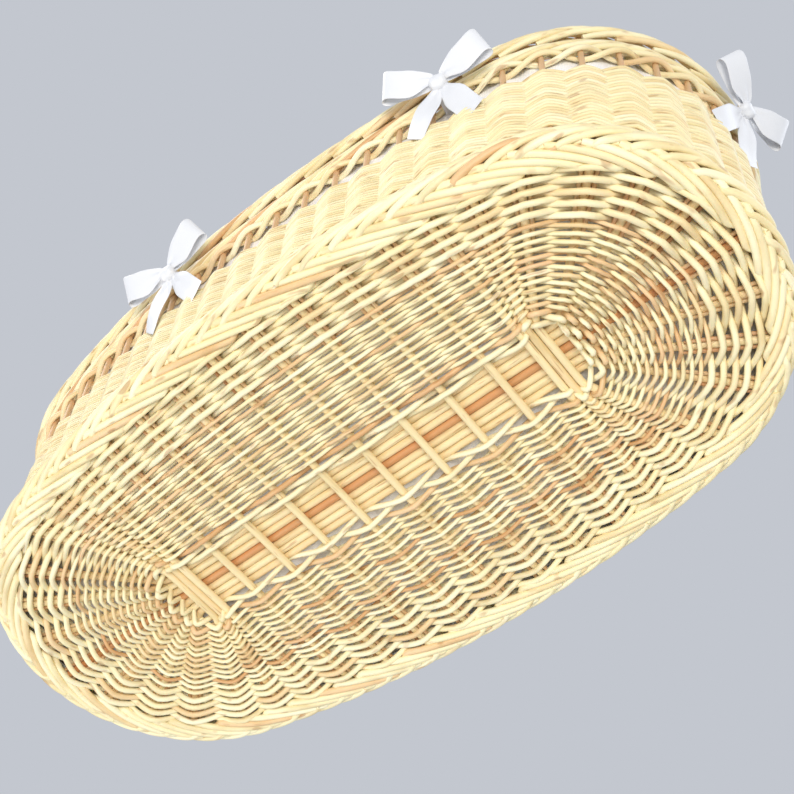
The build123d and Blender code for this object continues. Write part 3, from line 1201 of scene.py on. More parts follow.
@dataclass
class FootWale:
    """Stout wale worked round the foot, where the stakes turn up from the base.

    Attributes:
        form: Oval of the basket.
        strokes: Strokes round the foot, a multiple of the rods of both bands.
    """

    form: BasketForm
    strokes: int = 72

    def rods(self) -> RodBundle:
        """Strokes that sweep from under the base over its edge, and back up the wall."""
        bundle = RodBundle("foot_wale_rods", seed=31, dark_share=0.1)
        under = Wale(
            rods=4, radius=0.0031, lean=0.0084, front=0.0016, back=0.0030, per_gap=8, slant=-1
        )
        outside = Wale(rods=3, radius=0.0031, lean=0.0068, front=0.0030, back=0.0042, per_gap=8)
        # Offset from the stake line, level, tilt in degrees and the wale itself.
        bands = ((-0.0040, 0.0050, -84.0, under), (0.0056, 0.0102, -22.0, outside))
        for index, (offset, level, tilt, band) in enumerate(bands):
            down, up = math.sin(math.radians(tilt)), math.cos(math.radians(tilt))

            def line(
                station: float, offset: float = offset, level: float = level,
                down: float = down, up: float = up,
            ) -> tuple[Vector, Vector, Vector]:
                stake = station * self.form.stakes / self.strokes
                outward = self.form.outward(stake)
                front = outward * up + Vector((0, 0, down))
                across = Vector((0, 0, up)) - outward * down
                return self.form.wall(stake, level, offset), front, across

            band.lay(bundle, self.strokes, line, 1.3 * index)
        return bundle

    def build(self, tree: bpy.types.NodeTree, finishes: Finishes) -> None:
        """Builds and places the foot wale."""
        piece = self.rods().build(tree, finishes.of(finishes.white), 8)
        settle(piece, Body.BASKET, Slot.WHITE_WILLOW, ["foot_wale"])


# --- Rim ------------------------------------------------------------------------


@dataclass
class Rim:
    """Rim of the basket: the fitch that closes the open row, the rim wale and the border.

    Attributes:
        form: Oval of the basket.
        fitch_middle: Drop of the fitch's axis below the border's top.
        wale_middle: Drop of the rim wale's axis.
        border_middle: Drop of the border's axis.
    """

    form: BasketForm
    fitch_middle: float = 0.0402
    wale_middle: float = 0.0272
    border_middle: float = 0.0092

    def fitch(self, name: str, seed: int, phase: int) -> RodBundle:
        """One of the two rods that cross between the stakes, one in front and one behind.

        Args:
            name: Name of the piece.
            seed: Seed of the tones.
            phase: 0 or 1, the stakes that it passes in front of.

        Returns:
            The rods.
        """
        bundle = RodBundle(name, seed, dark_share=0.05)

        def place(station: float, front: float) -> Vector:
            rise = 0.0026 * math.sin(math.pi * (station + phase))
            return self.form.under_rim(station, self.fitch_middle - rise, 0.0047 * front)

        weave(bundle, self.form.stakes, phase, 8, (10, 16), place, lambda station: 0.0025)
        return bundle

    def wale(self) -> RodBundle:
        """Wale of long slanting strokes under the border."""
        bundle = RodBundle("rim_wale_rods", seed=43, dark_share=0.08)
        wale = Wale(rods=4, radius=0.0029, lean=0.0084, front=0.0044, back=0.0046, per_gap=8)

        def line(station: float) -> tuple[Vector, Vector, Vector]:
            middle = self.form.under_rim(station, self.wale_middle)
            return middle, self.form.outward(station), Vector((0, 0, 1))

        wale.lay(bundle, self.form.stakes, line)
        return bundle

    def border_point(self, station: float, turn: float) -> Vector:
        """Point of the border, at an angle round its section from the outer bottom."""
        across, up = 0.0088 * math.cos(turn), 0.0060 * math.sin(turn)
        return self.form.under_rim(station, self.border_middle - up, across)

    def border(
        self, name: str, seed: int, first: float, last: float, gaps: float, radius: float
    ) -> RodBundle:
        """Stake ends laid round the border, one from every stake.

        Args:
            name: Name of the piece.
            seed: Seed of the tones.
            first: Angle round the section where a rod starts.
            last: Angle where it ends.
            gaps: Gaps between stakes that it covers on the way.
            radius: Radius of a rod.

        Returns:
            The rods.
        """
        bundle = RodBundle(name, seed, dark_share=0.12)
        steps = 14
        for stake in range(self.form.stakes):
            sway = bundle.chance.uniform(-0.08, 0.08)
            lift = bundle.chance.uniform(-0.04, 0.04)
            line = []
            for step in range(steps + 1):
                run = step / steps
                turn = first + (last - first) * run + lift
                line.append(self.border_point(stake + sway + run * gaps, turn))
            bundle.lay(line, radius * bundle.chance.uniform(0.93, 1.05), point=(0.8, 0.55))
        return bundle

    def build(self, tree: bpy.types.NodeTree, finishes: Finishes) -> None:
        """Builds and places the rim."""
        white, buff = finishes.of(finishes.white), finishes.of(finishes.buff)
        outer = self.fitch("fitch_rods_even", 41, 0).build(tree, white, 8)
        settle(outer, Body.BASKET, Slot.WHITE_WILLOW, ["fitch_rod_outer"])
        inner = self.fitch("fitch_rods_odd", 42, 1).build(tree, white, 8)
        settle(inner, Body.BASKET, Slot.WHITE_WILLOW, ["fitch_rod_inner"])
        wale = self.wale().build(tree, white, 8)
        settle(wale, Body.BASKET, Slot.WHITE_WILLOW, ["rim_wale"])
        front = self.border(
            "border_strokes_outer", 44, -0.35 * math.pi, 0.62 * math.pi, gaps=4.2, radius=0.0030
        )
        settle(front.build(tree, white, 8), Body.BASKET, Slot.WHITE_WILLOW, ["border_outer"])
        # The inner strokes take the darker buff willow: painted shade on the border's inner side.
        back = self.border(
            "border_strokes_inner", 45, 0.45 * math.pi, 1.45 * math.pi, gaps=4.0, radius=0.0029
        )
        settle(back.build(tree, buff, 8), Body.BASKET, Slot.BUFF_WILLOW, ["border_inner"])


# --- Cloth ----------------------------------------------------------------------


def grid_cloth(
    name: str,
    spots: Sequence[Sequence[Vector]],
    flat: Callable[[int, int], tuple[float, float]],
    closed: bool,
) -> bpy.types.Object:
    """Cloth from rows of points, with its flat shape as a UV map in metres.

    Args:
        name: Name of the piece.
        spots: Rows of points.
        flat: Place of a point on the flat cloth, by row and column.
        closed: True where the last column joins the first.

    Returns:
        The piece.
    """
    rows, columns = len(spots), len(spots[0])
    mesh = bpy.data.meshes.new(name)
    faces, corners = [], []
    for row in range(rows - 1):
        for column in range(columns if closed else columns - 1):
            after = (column + 1) % columns
            faces.append((row * columns + column, row * columns + after,
                          (row + 1) * columns + after, (row + 1) * columns + column))
            corners.append(
                ((row, column), (row, column + 1), (row + 1, column + 1), (row + 1, column))
            )
    mesh.from_pydata([tuple(p) for line in spots for p in line], [], faces)
    layer = mesh.uv_layers.new(name="cloth")
    values = [value for face in corners for spot in face for value in flat(*spot)]
    layer.data.foreach_set("uv", values)
    mesh.polygons.foreach_set("use_smooth", [True] * len(faces))
    piece = bpy.data.objects.new(name, mesh)
    bpy.context.scene.collection.objects.link(piece)
    return piece


def lay_flat(piece: bpy.types.Object) -> None:
    """Gives a piece a UV map in metres that sees it from above and down its sides."""
    layer = piece.data.uv_layers.new(name="cloth")
    spots = [piece.data.vertices[loop.vertex_index].co for loop in piece.data.loops]
    layer.data.foreach_set("uv", [value for p in spots for value in (p.x + p.z, p.y + p.z)])


def thicken(piece: bpy.types.Object, thickness: float, offset: float = 0.0) -> None:
    """Gives a sheet its thickness."""
    solid = piece.modifiers.new("thickness", "SOLIDIFY")
    solid.thickness = thickness
    solid.offset = offset


@dataclass
class Lining:
    """Cotton lining: a skirt gathered round the wall, and a floor laid in it.

    Attributes:
        form: Oval of the basket.
        offset: Outer side of the skirt, from the stake line.
        folds: Number of soft gathers.
        depth: Depth of a gather.
        top_drop: Drop of the skirt's top below the border's top.
    """

    form: BasketForm
    offset: float = -0.0070
    folds: int = 74
    depth: float = 0.0030
    top_drop: float = 0.0215

    def skirt(self) -> bpy.types.Object:
        """Skirt with soft gathers that fade towards the floor."""
        low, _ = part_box("lining_skirt")
        columns, rows = self.folds * 8, 22
        station_step = self.form.stakes / columns
        spots = []
        for row in range(rows + 1):
            share = row / rows
            line = []
            for column in range(columns):
                station = column * station_step
                top = self.form.under_rim(station, self.top_drop, self.offset).z
                level = low.z + 0.0005 + (top - low.z - 0.0005) * share
                wander = 1.6 * noise.noise(Vector((station * 0.35, share * 1.3, 4.0)))
                wave = 0.5 - 0.5 * math.cos(TAU * column / 8 + wander)
                fade = 0.25 + 0.75 * share
                uneven = 0.75 + 0.5 * noise.noise(Vector((station, 2.0, share)))
                inward = self.depth * fade * wave * uneven
                line.append(self.form.wall(station, level, self.offset - max(0.0, inward)))
            spots.append(line)
        length, height = self.flat_size()

        def flat(row: int, column: int) -> tuple[float, float]:
            return length * column / columns, height * row / rows

        piece = grid_cloth("lining_skirt_cloth", spots, flat, closed=True)
        flip_inwards(piece)
        thicken(piece, 0.0008, -1.0)
        return piece

    def flat_size(self) -> tuple[float, float]:
        """Length and height that the skirt is cut to."""
        rim = [self.form.under_rim(s, self.top_drop, self.offset) for s in range(self.form.stakes)]
        round_it = sum((a - b).length for a, b in zip(rim, rim[1:] + rim[:1]))
        height = sum(p.z for p in rim) / len(rim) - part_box("lining_skirt")[0].z
        return round_it * 1.06, height

    def floor(self) -> bpy.types.Object:
        """Oval floor of the lining, lying on the base with faint ripples."""
        low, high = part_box("lining_floor")
        middle = (low.z + high.z) / 2
        rings, columns = 16, 180
        spots = []
        for ring in range(rings + 1):
            share = 0.02 + 0.98 * ring / rings
            line = []
            for column in range(columns):
                station = column * self.form.stakes / columns
                edge = self.form.wall(station, middle, self.offset - 0.0012)
                spot = Vector((edge.x * share * 14, edge.y * share * 14, 1.0))
                ripple = 0.0005 * noise.noise(spot)
                line.append(Vector((edge.x * share, edge.y * share, middle + ripple)))
            spots.append(line)

        def flat(row: int, column: int) -> tuple[float, float]:
            spot = spots[row][column % columns]
            return spot.x, spot.y

        piece = grid_cloth("lining_floor_cloth", spots, flat, closed=True)
        close_middle(piece, columns)
        thicken(piece, 0.0008)
        return piece

    def build(self, finishes: Finishes) -> None:
        """Builds and places the lining."""
        cotton = finishes.of(finishes.cotton)
        skirt = self.skirt()
        skirt.data.materials.append(cotton)
        settle(skirt, Body.BASKET, Slot.COTTON, ["lining_skirt"])
        self.flat_size()
        floor = self.floor()
        floor.data.materials.append(cotton)
        settle(floor, Body.BASKET, Slot.COTTON, ["lining_floor"])


def flip_inwards(piece: bpy.types.Object) -> None:
    """Turns every face round, for a wall seen from inside."""
    made = bmesh.new()
    made.from_mesh(piece.data)
    bmesh.ops.reverse_faces(made, faces=made.faces)
    made.to_mesh(piece.data)
    made.free()


def close_middle(piece: bpy.types.Object, columns: int) -> None:
    """Closes the small hole inside the first ring of a disc."""
    made = bmesh.new()
    made.from_mesh(piece.data)
    made.verts.ensure_lookup_table()
    layer = made.loops.layers.uv.active
    face = made.faces.new([made.verts[i] for i in reversed(range(columns))])
    face.smooth = True
    for loop in face.loops:
        loop[layer].uv = loop.vert.co.xy
    bmesh.ops.recalc_face_normals(made, faces=made.faces)
    made.to_mesh(piece.data)
    made.free()


@dataclass
class Bow:
    """Satin ribbon tied in a bow round the rim wale.

    Attributes:
        place: Name of its place.
        form: Oval of the basket.
        direction: Outward direction, in degrees from +X.
        drop: Middle of the knot below the border's top.
        seat: Distance of the knot's back from the stake line.
        ribbon: Width of the ribbon.
        loop: Length of a loop.
        puff: How far a loop's two sides stand open from its middle.
        flop: Angle by which the loops hang forward off the wall, in degrees.
        tail: Length of a tail.
    """

    place: str
    form: BasketForm
    direction: float
    drop: float = 0.044
    seat: float = 0.014
    ribbon: float = 0.024
    loop: float = 0.044
    puff: float = 0.0080
    flop: float = 38.0
    tail: float = 0.054

    def __post_init__(self) -> None:
        """Sets the bow's own axes: across, up the wall and out of it."""
        angle = math.radians(self.direction)
        x = self.form.facing(angle, self.form.rim_middle).x
        level = self.form.rim(x) - self.drop
        self.origin = self.form.facing(angle, level, self.seat)
        above = self.form.facing(angle, level + 0.015, self.seat)
        self.across = Vector((-math.sin(angle), math.cos(angle), 0))
        self.up = (above - self.origin).normalized()
        self.out = self.across.cross(self.up).normalized()
        self.chance = random.Random(self.place)

    def spot(self, across: float, up: float, out: float) -> Vector:
        """Point in the frame from the bow's own axes."""
        return self.origin + self.across * across + self.up * up + self.out * out

    def strip(
        self, name: str, line: Sequence[Vector], sides: Sequence[Vector], widths: Sequence[float]
    ) -> bpy.types.Object:
        """Ribbon along a line in the bow's own axes.

        Args:
            name: Name of the piece.
            line: Middle of the ribbon.
            sides: Direction across the ribbon at each point.
            widths: Width at each point.

        Returns:
            The piece.
        """
        lanes = 8
        spots = []
        for index, (middle, side, width) in enumerate(zip(line, sides, widths)):
            pinch = 1 - width / self.ribbon
            row = []
            normal = side.cross(
                (line[min(index + 1, len(line) - 1)] - line[max(index - 1, 0)]).normalized()
            )
            for lane in range(lanes + 1):
                share = lane / lanes - 0.5
                pleat = 0.0016 * pinch * math.cos(TAU * 2 * share)
                at = middle + side * width * share + normal * pleat
                row.append(self.spot(at.x, at.y, at.z))
            spots.append(row)
        far = [0.0]
        for a, b in zip(line, line[1:]):
            far.append(far[-1] + (b - a).length)

        def flat(row: int, column: int) -> tuple[float, float]:
            return far[row], self.ribbon * column / lanes

        return grid_cloth(name, spots, flat, closed=False)

    def loop_strip(self, hand: int) -> bpy.types.Object:
        """One loop: out along the front, round its end and back behind."""
        steps = 26
        tilt = math.radians(18 + self.chance.uniform(-4, 4)) * hand
        turn = Matrix.Rotation(math.radians(self.flop), 3, "X") @ Matrix.Rotation(tilt, 3, "Z")
        pivot = Vector((0, 0, 0.0068))
        line, sides, widths = [], [], []
        for step in range(steps + 1):
            run = step / steps
            angle = TAU * run
            reach = (1 - math.cos(angle)) / 2
            fat = math.sin(angle) * (0.35 + 0.65 * reach)
            sway = 0.0015 * math.sin(3 * angle)
            spot = Vector((hand * (0.004 + self.loop * reach), sway, self.puff * fat))
            line.append(pivot + turn @ spot)
            side = Vector((0.10 * hand * math.sin(angle), 1, 0.12 * math.sin(angle))).normalized()
            sides.append(turn @ side)
            widths.append(self.ribbon * (0.42 + 0.58 * smoothstep(reach * 2.2)))
        return self.strip(f"bow_loop_{self.place}_{hand}", line, sides, widths)

    def tail_strip(self, hand: int) -> bpy.types.Object:
        """One tail: down and outwards from the knot, with a soft wave and a slanting end."""
        steps = 16
        splay = math.radians(30 + self.chance.uniform(-6, 6)) * hand
        lean_out = math.radians(0.4 * self.flop)
        turn = Matrix.Rotation(lean_out, 3, "X") @ Matrix.Rotation(splay, 3, "Z")
        line, sides, widths = [], [], []
        for step in range(steps + 1):
            run = step / steps
            wave = 0.0022 * math.sin(math.pi * 1.7 * run + hand)
            spot = Vector((0.0, -0.003 - self.tail * run, 0.0035 + wave * run))
            line.append(turn @ spot)
            lean = 0.35 * smoothstep((run - 0.75) * 4) * hand
            side = Vector((1, lean, 0.25 * math.sin(2.2 * run + hand)))
            sides.append(turn @ side)
            widths.append(self.ribbon * (0.42 + 0.50 * smoothstep(run * 2.2)))
        return self.strip(f"bow_tail_{self.place}_{hand}", line, sides, widths)

    def knot(self) -> bpy.types.Object:
        """Knot wrapped round the middle, with creases."""
        rings, columns = 14, 28
        spots = []
        for ring in range(rings + 1):
            share = ring / rings * 2 - 1
            half = 0.0078 * (1 - 0.10 * share * share)
            line = []
            for column in range(columns):
                angle = TAU * column / columns
                crease = 1 + 0.05 * math.sin(5 * share + 2 * angle)
                x = 0.0072 * share
                round_off = math.sqrt(max(0.0, 1 - 0.62 * abs(share) ** 5))
                y = half * math.cos(angle) * crease * round_off
                z = 0.0060 + 0.0058 * math.sin(angle) * crease * round_off
                line.append(self.spot(x, y, z))
            spots.append(line)

        def flat(row: int, column: int) -> tuple[float, float]:
            return self.ribbon * row / rings, 0.045 * column / columns

        piece = grid_cloth(f"bow_knot_wrap_{self.place}", spots, flat, closed=True)
        made = bmesh.new()
        made.from_mesh(piece.data)
        made.verts.ensure_lookup_table()
        layer = made.loops.layers.uv.active
        for start in (0, rings * columns):
            face = made.faces.new([made.verts[start + i] for i in range(columns)])
            face.smooth = True
            for index, loop in enumerate(face.loops):
                loop[layer].uv = (0.0, 0.045 * index / columns)
        bmesh.ops.recalc_face_normals(made, faces=made.faces)
        made.to_mesh(piece.data)
        made.free()
        return piece

    def strap(self) -> bpy.types.Object:
        """Ribbon that passes from the knot through the open row to the lining."""
        line = [Vector((0, -0.0060, 0.004 - 0.0245 * step / 10)) for step in range(11)]
        sides = [Vector((1, 0, 0))] * len(line)
        return self.strip(f"bow_strap_{self.place}", line, sides, [0.0115] * len(line))

    def build(self, finishes: Finishes) -> None:
        """Builds and places the bow."""
        satin = finishes.of(finishes.satin)
        parts = [self.loop_strip(1), self.loop_strip(-1), self.tail_strip(1), self.tail_strip(-1)]
        ribbon = join(parts, f"bow_ribbon_cloth_{self.place}")
        knot = join([self.knot(), self.strap()], f"bow_knot_cloth_{self.place}")
        for piece in (ribbon, knot):
            piece.data.materials.clear()
            piece.data.materials.append(satin)
        area = sum(p.area for p in ribbon.data.polygons)
        thicken(ribbon, 0.0004)
        finish = ribbon.modifiers.new("smooth", "SUBSURF")
        finish.levels = finish.render_levels = 1
        settle(ribbon, Body.BASKET, Slot.SATIN, [f"bow_ribbon_{self.place}"])
        settle(knot, Body.BASKET, Slot.SATIN, [f"bow_knot_{self.place}"])
        length = 2 * (2 * self.loop + self.tail) + 0.02
        log.info("bow_%s: ribbon area %.5f of %.5f", self.place, area, length * self.ribbon)


def join(parts: Sequence[bpy.types.Object], name: str) -> bpy.types.Object:
    """Joins pieces into one mesh under a new name."""
    made = bmesh.new()
    for part in parts:
        made.from_mesh(part.data)
        mesh = part.data
        bpy.data.objects.remove(part)
        bpy.data.meshes.remove(mesh)
    mesh = bpy.data.meshes.new(name)
    made.to_mesh(mesh)
    made.free()
    piece = bpy.data.objects.new(name, mesh)
    bpy.context.scene.collection.objects.link(piece)
    return piece


# --- Mattress -------------------------------------------------------------------


@dataclass
class Mattress:
    """Lift-out mattress: foam in a quilted ticking cover, with piping at both edges.

    Attributes:
        form: Oval of the basket.
        side: Distance of its side from the stake line.
        voxel: Size of the cells of the cloth's mesh.
        pressure: Pressure that fills the cover.
        cap: Furthest that a point may rise.
        cap_side: Furthest that a point may move sideways.
        sink: Depth of the blank's upper edge, and of the tufts, below the top of its place.
        blank_inset: Distance of the blank's side inside the side of its place.
        core_inset: Distance of the foam's side and edges inside the blank's.
        rounding: Width and depth of the slanting edge round the blank.
        flat_height: Height over the underside within which the cover is held.
        tuft: Spacing of the quilting.
        tuft_margin: Least distance of a tuft from the stake line.
    """

    form: BasketForm
    side: float = -0.0160
    voxel: float = 0.006
    pressure: float = 4.0
    cap: float = 0.0085
    cap_side: float = 0.0035
    sink: float = 0.0065
    blank_inset: float = 0.0035
    core_inset: float = 0.0045
    rounding: float = 0.012
    flat_height: float = 0.004
    tuft: float = 0.062
    tuft_margin: float = 0.045

    def __post_init__(self) -> None:
        """Reads the place of the cover."""
        self.low, self.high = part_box("mattress_cover")

    def blank(self, name: str, inset: float, below: float) -> bpy.types.Object:
        """Oval pad whose edges slant, so that its top and its underside lie sunk between them.

        Known fault: the edge was meant to be rounded, with its rim as the lowest point of the
        top.  Each ring's depth should be `rounding * (1 - math.cos(angle))`.

        Args:
            name: Name of the piece.
            inset: Distance of its side inside the side of its place.
            below: Extra distance of its edges from those of the cover's blank.

        Returns:
            The piece.
        """
        low, high = self.low, self.high
        columns, steps = 240, 6
        angles = [math.pi / 2 * step / steps for step in range(steps + 1)]
        rings = [self.rounding * (1 - math.sin(angle)) for angle in angles]
        made = bmesh.new()
        top, bottom = high.z - self.sink - below, low.z + 0.0012 + below
        upper = [(round_off, top - round_off) for round_off in rings]
        lower = [(round_off, bottom + round_off) for round_off in reversed(rings)]
        loops = []
        for round_off, level in upper + lower:
            spots = [
                self.edge_point(column * self.form.stakes / columns, level, round_off + inset)
                for column in range(columns)
            ]
            loops.append([made.verts.new(p) for p in spots])
        for loop, next_loop in zip(loops, loops[1:]):
            for column in range(columns):
                after = (column + 1) % columns
                made.faces.new((loop[column], next_loop[column], next_loop[after], loop[after]))
        made.faces.new(loops[0])
        made.faces.new(list(reversed(loops[-1])))
        bmesh.ops.recalc_face_normals(made, faces=made.faces)
        mesh = bpy.data.meshes.new(name)
        made.to_mesh(mesh)
        made.free()
        piece = bpy.data.objects.new(name, mesh)
        bpy.context.scene.collection.objects.link(piece)
        return piece

    def edge_point(self, station: float, level: float, inset: float) -> Vector:
        """Point on the mattress's side, which stands upright on its own oval."""
        low, high = self.low, self.high
        spot = self.form.wall(station, low.z, 0.0)
        reach_x = (high.x - low.x) / 2 / self.form.facing(0, low.z).x
        reach_y = (high.y - low.y) / 2 / self.form.facing(math.pi / 2, low.z).y
        spot.x, spot.y = spot.x * reach_x, spot.y * reach_y
        outward = self.form.outward(station)
        return Vector((spot.x, spot.y, level)) - outward * inset

    def tuft_weight(self, spot: Vector) -> float:
        """How strongly the quilting holds a point down."""
        row = round(spot.y / self.tuft)
        shift = 0.5 * self.tuft * (row % 2)
        column = round((spot.x - shift) / self.tuft)
        away = Vector((spot.x - shift - column * self.tuft, spot.y - row * self.tuft)).length
        return 1.0 if away < 0.0055 else 0.0

    def swell(self, piece: bpy.types.Object) -> None:
        """Fills the cover by cloth simulation, held along its lower edge.

        The tufts are meant to hold it too, but no point of the present blank is high enough.
        """
        low, high = self.low, self.high
        middle = (low.z + high.z) / 2
        held = piece.vertex_groups.new(name="tufts")
        for vertex in piece.data.vertices:
            flat_side = vertex.co.z < low.z + self.flat_height
            top_tuft = vertex.co.z > high.z - self.sink - 0.003 and self.tuft_weight(vertex.co) > 0
            if flat_side or top_tuft:
                held.add([vertex.index], 1.0, "REPLACE")
        start = np.array([v.co for v in piece.data.vertices])
        cloth = piece.modifiers.new("cloth", "CLOTH")
        cloth.settings.use_pressure = True
        cloth.settings.uniform_pressure_force = self.pressure
        cloth.settings.effector_weights.gravity = 0
        cloth.settings.vertex_group_mass = "tufts"
        cloth.settings.quality = 5
        scene = bpy.context.scene
        for number in range(1, 21):
            scene.frame_set(number)
        graph = bpy.context.evaluated_depsgraph_get()
        swollen = piece.evaluated_get(graph)
        end = np.array([v.co for v in swollen.data.vertices])
        piece.modifiers.clear()
        scene.frame_set(1)
        shift = end - start
        aside = np.linalg.norm(shift[:, :2], axis=1, keepdims=True)
        shift[:, :2] *= np.minimum(1.0, self.cap_side / np.maximum(aside, 1e-9))
        shift[:, 2] = np.clip(shift[:, 2], -self.cap, self.cap)
        shift[:, 2] = np.where(start[:, 2] < middle, np.maximum(shift[:, 2], 0.0), shift[:, 2])
        piece.data.vertices.foreach_set("co", (start + shift).ravel())
        piece.vertex_groups.clear()
        piece.data.update()

    def remesh(self, piece: bpy.types.Object) -> None:
        """Gives a piece an even mesh for the simulation."""
        remesh = piece.modifiers.new("remesh", "REMESH")
        remesh.mode = "VOXEL"
        remesh.voxel_size = self.voxel
        graph = bpy.context.evaluated_depsgraph_get()
        mesh = bpy.data.meshes.new_from_object(piece.evaluated_get(graph))
        old = piece.data
        piece.modifiers.clear()
        piece.data = mesh
        bpy.data.meshes.remove(old)

    def piping(self) -> RodBundle:
        """Piping sewn round the upper and lower edges."""
        low, high = self.low, self.high
        bundle = RodBundle("mattress_piping", seed=61)
        columns = 300
        for level in (high.z - 0.0085, low.z + 0.0045):
            line = [
                self.edge_point(column * self.form.stakes / columns, level, 0.0022)
                for column in range(columns + 1)
            ]
            bundle.lay(line, 0.0019, tint=0.2)
        return bundle

    def tufts(self, finish: bpy.types.Material) -> bpy.types.Object:
        """Thread tufts of the quilting, level with the blank's upper edge."""
        spots = []
        reach = int(self.high.x / self.tuft) + 1
        for row in range(-3, 4):
            for column in range(-reach, reach + 1):
                x = (column + 0.5 * (row % 2)) * self.tuft
                spot = Vector((x, row * self.tuft, self.high.z))
                if self.form.holds(spot, self.low.z, -self.tuft_margin):
                    spots.append(tuple(spot - Vector((0, 0, self.sink))))
        mesh = bpy.data.meshes.new("mattress_tuft_points")
        mesh.from_pydata(spots, [], [])
        return grown("mattress_tufts", mesh, tuft_tree(), {"Radius": 0.0034, "Finish": finish})

    def build(self, tree: bpy.types.NodeTree, finishes: Finishes) -> None:
        """Builds and places the mattress."""
        ticking = finishes.of(finishes.ticking)
        cover = self.blank("mattress_cover_cloth", self.blank_inset, 0.0)
        self.remesh(cover)
        self.swell(cover)
        piping = self.piping().build(tree, ticking, 8)
        tufts = self.tufts(ticking)
        for piece in (cover, piping, tufts):
            lay_flat(piece)
            piece.data.materials.clear()
            piece.data.materials.append(ticking)
            piece.data.polygons.foreach_set("use_smooth", [True] * len(piece.data.polygons))
        finer = cover.modifiers.new("finer", "SUBSURF")
        finer.levels = finer.render_levels = 1
        settle(cover, Body.MATTRESS, Slot.TICKING, ["mattress_cover"])
        settle(piping, Body.MATTRESS, Slot.TICKING)
        settle(tufts, Body.MATTRESS, Slot.TICKING)
        core = self.blank("mattress_core_foam", self.blank_inset + self.core_inset, self.core_inset)
        core.data.materials.append(finishes.of(finishes.foam))
        settle(core, Body.MATTRESS, Slot.FOAM, ["mattress_core"])


# --- Stage ----------------------------------------------------------------------


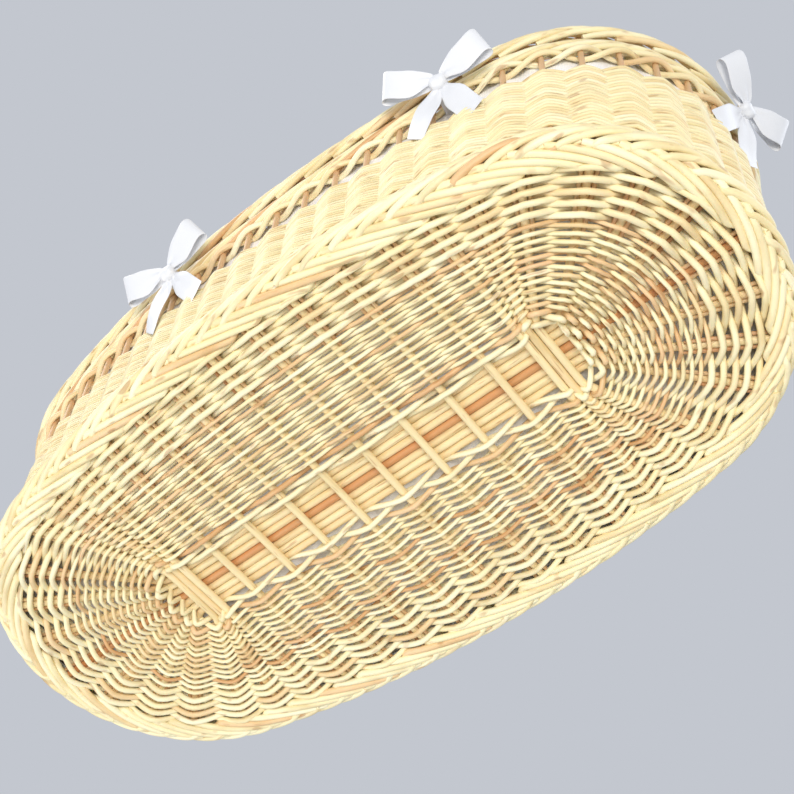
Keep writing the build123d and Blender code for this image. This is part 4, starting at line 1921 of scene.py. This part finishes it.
@dataclass
class Studio:
    """Pale floor, soft lights and the camera that looks up at the base.

    Attributes:
        floor_level: Level of the floor.
        floor_half_size: Half of the floor's side.
        eye: Place of the camera.
        aim: Direction that it looks in.
        upright: Direction that is up in its view.
        lens: Focal length in millimetres.
    """

    floor_level: float = -0.0006
    floor_half_size: float = 6.0
    eye: tuple[float, float, float] = (0.382, -0.379, -0.778)
    aim: tuple[float, float, float] = (-0.3416, 0.3665, 0.8656)
    upright: tuple[float, float, float] = (0.530, -0.695, 0.488)
    lens: float = 53.6

    def floor(self) -> None:
        """Floor that hides nothing from below, and lets the lower lights through."""
        made = bmesh.new()
        bmesh.ops.create_grid(made, x_segments=2, y_segments=2, size=self.floor_half_size)
        mesh = bpy.data.meshes.new("floor")
        made.to_mesh(mesh)
        made.free()
        mesh.transform(Matrix.Translation((0, 0, self.floor_level)))
        floor = bpy.data.objects.new("floor", mesh)
        bpy.context.scene.collection.objects.link(floor)
        material, tree = new_material("floor_matt_paint")
        place = add_node(tree, "ShaderNodeTexCoord").outputs["Object"]
        speckle = add_node(
            tree, "ShaderNodeTexNoise", inputs={"Vector": place, "Scale": 6.0, "Detail": 3.0}
        ).outputs["Fac"]
        tone = ramp(tree, speckle, [(0.3, "D2CDC4"), (0.7, "DAD6CE")])
        paint = add_node(
            tree, "ShaderNodeBsdfPrincipled", inputs={"Base Color": tone, "Roughness": 0.7}
        ).outputs[0]
        clear = add_node(tree, "ShaderNodeBsdfTransparent").outputs[0]
        behind = add_node(tree, "ShaderNodeNewGeometry").outputs["Backfacing"]
        mixed = add_node(tree, "ShaderNodeMixShader", inputs={0: behind, 1: paint, 2: clear})
        add_node(tree, "ShaderNodeOutputMaterial", inputs={"Surface": mixed.outputs[0]})
        mesh.materials.append(material)
        floor.visible_shadow = False
        floor.visible_diffuse = False

    def light(self, name: str, where: Vector, size: float, power: float, tone: str) -> None:
        """Adds a soft lamp that faces the basket."""
        data = bpy.data.lights.new(name, "AREA")
        data.shape = "DISK"
        data.size = size
        data.energy = power
        data.color = colour(tone)[:3]
        lamp = bpy.data.objects.new(name, data)
        lamp.location = where
        lamp.rotation_euler = (Vector((0, 0, 0.1)) - where).to_track_quat("-Z", "Y").to_euler()
        bpy.context.scene.collection.objects.link(lamp)

    def camera(self) -> None:
        """Camera under the basket, near its right side."""
        data = bpy.data.cameras.new("camera")
        data.sensor_width = 36
        data.lens = self.lens
        data.clip_start, data.clip_end = 0.01, 50
        camera = bpy.data.objects.new("camera", data)
        bpy.context.scene.collection.objects.link(camera)
        back = -Vector(self.aim).normalized()
        right = Vector(self.upright).cross(back).normalized()
        up = back.cross(right)
        turn = Matrix((right, up, back)).transposed().to_4x4()
        camera.matrix_world = Matrix.Translation(self.eye) @ turn
        bpy.context.scene.camera = camera

    def build(self) -> None:
        """Builds the stage."""
        self.floor()
        self.light("key_above", Vector((-1.2, -1.8, 2.2)), 1.6, 34, "FFFAF2")
        self.light("fill_above", Vector((2.0, 1.2, 1.6)), 1.8, 17, "F4F8FF")
        self.light("key_below", Vector((1.3, -1.5, -1.6)), 1.2, 42, "FFFCF6")
        self.light("fill_below", Vector((-1.4, -0.4, -1.6)), 1.8, 20, "F6F9FF")
        world = bpy.data.worlds.new("room")
        world.use_nodes = True
        world.node_tree.nodes.clear()
        air = add_node(
            world.node_tree,
            "ShaderNodeBackground",
            inputs={"Color": colour("C3C7CF"), "Strength": 1.0},
        )
        add_node(world.node_tree, "ShaderNodeOutputWorld", inputs={"Surface": air.outputs[0]})
        bpy.context.scene.world = world
        bpy.context.scene.view_settings.view_transform = "Standard"
        self.camera()


# --- Making ---------------------------------------------------------------------


BOW_DIRECTIONS = {
    "head": 0.0,
    "foot": 180.0,
    "right_head": -79.5,
    "right_foot": -93.0,
    "left_head": 79.5,
    "left_foot": 93.0,
}


def main() -> None:
    """Builds the basket and its stage in order."""
    form = BasketForm()
    finishes = Finishes()
    tree = rod_sweep_tree()
    Studio().build()
    BaseMat(form).build(tree, finishes)
    FootWale(form).build(tree, finishes)
    Wall(form).build(tree, finishes)
    Rim(form).build(tree, finishes)
    Lining(form).build(finishes)
    for place, direction in BOW_DIRECTIONS.items():
        Bow(place, form, direction).build(finishes)
    Mattress(form).build(tree, finishes)


if __name__ == "__main__":
    main()
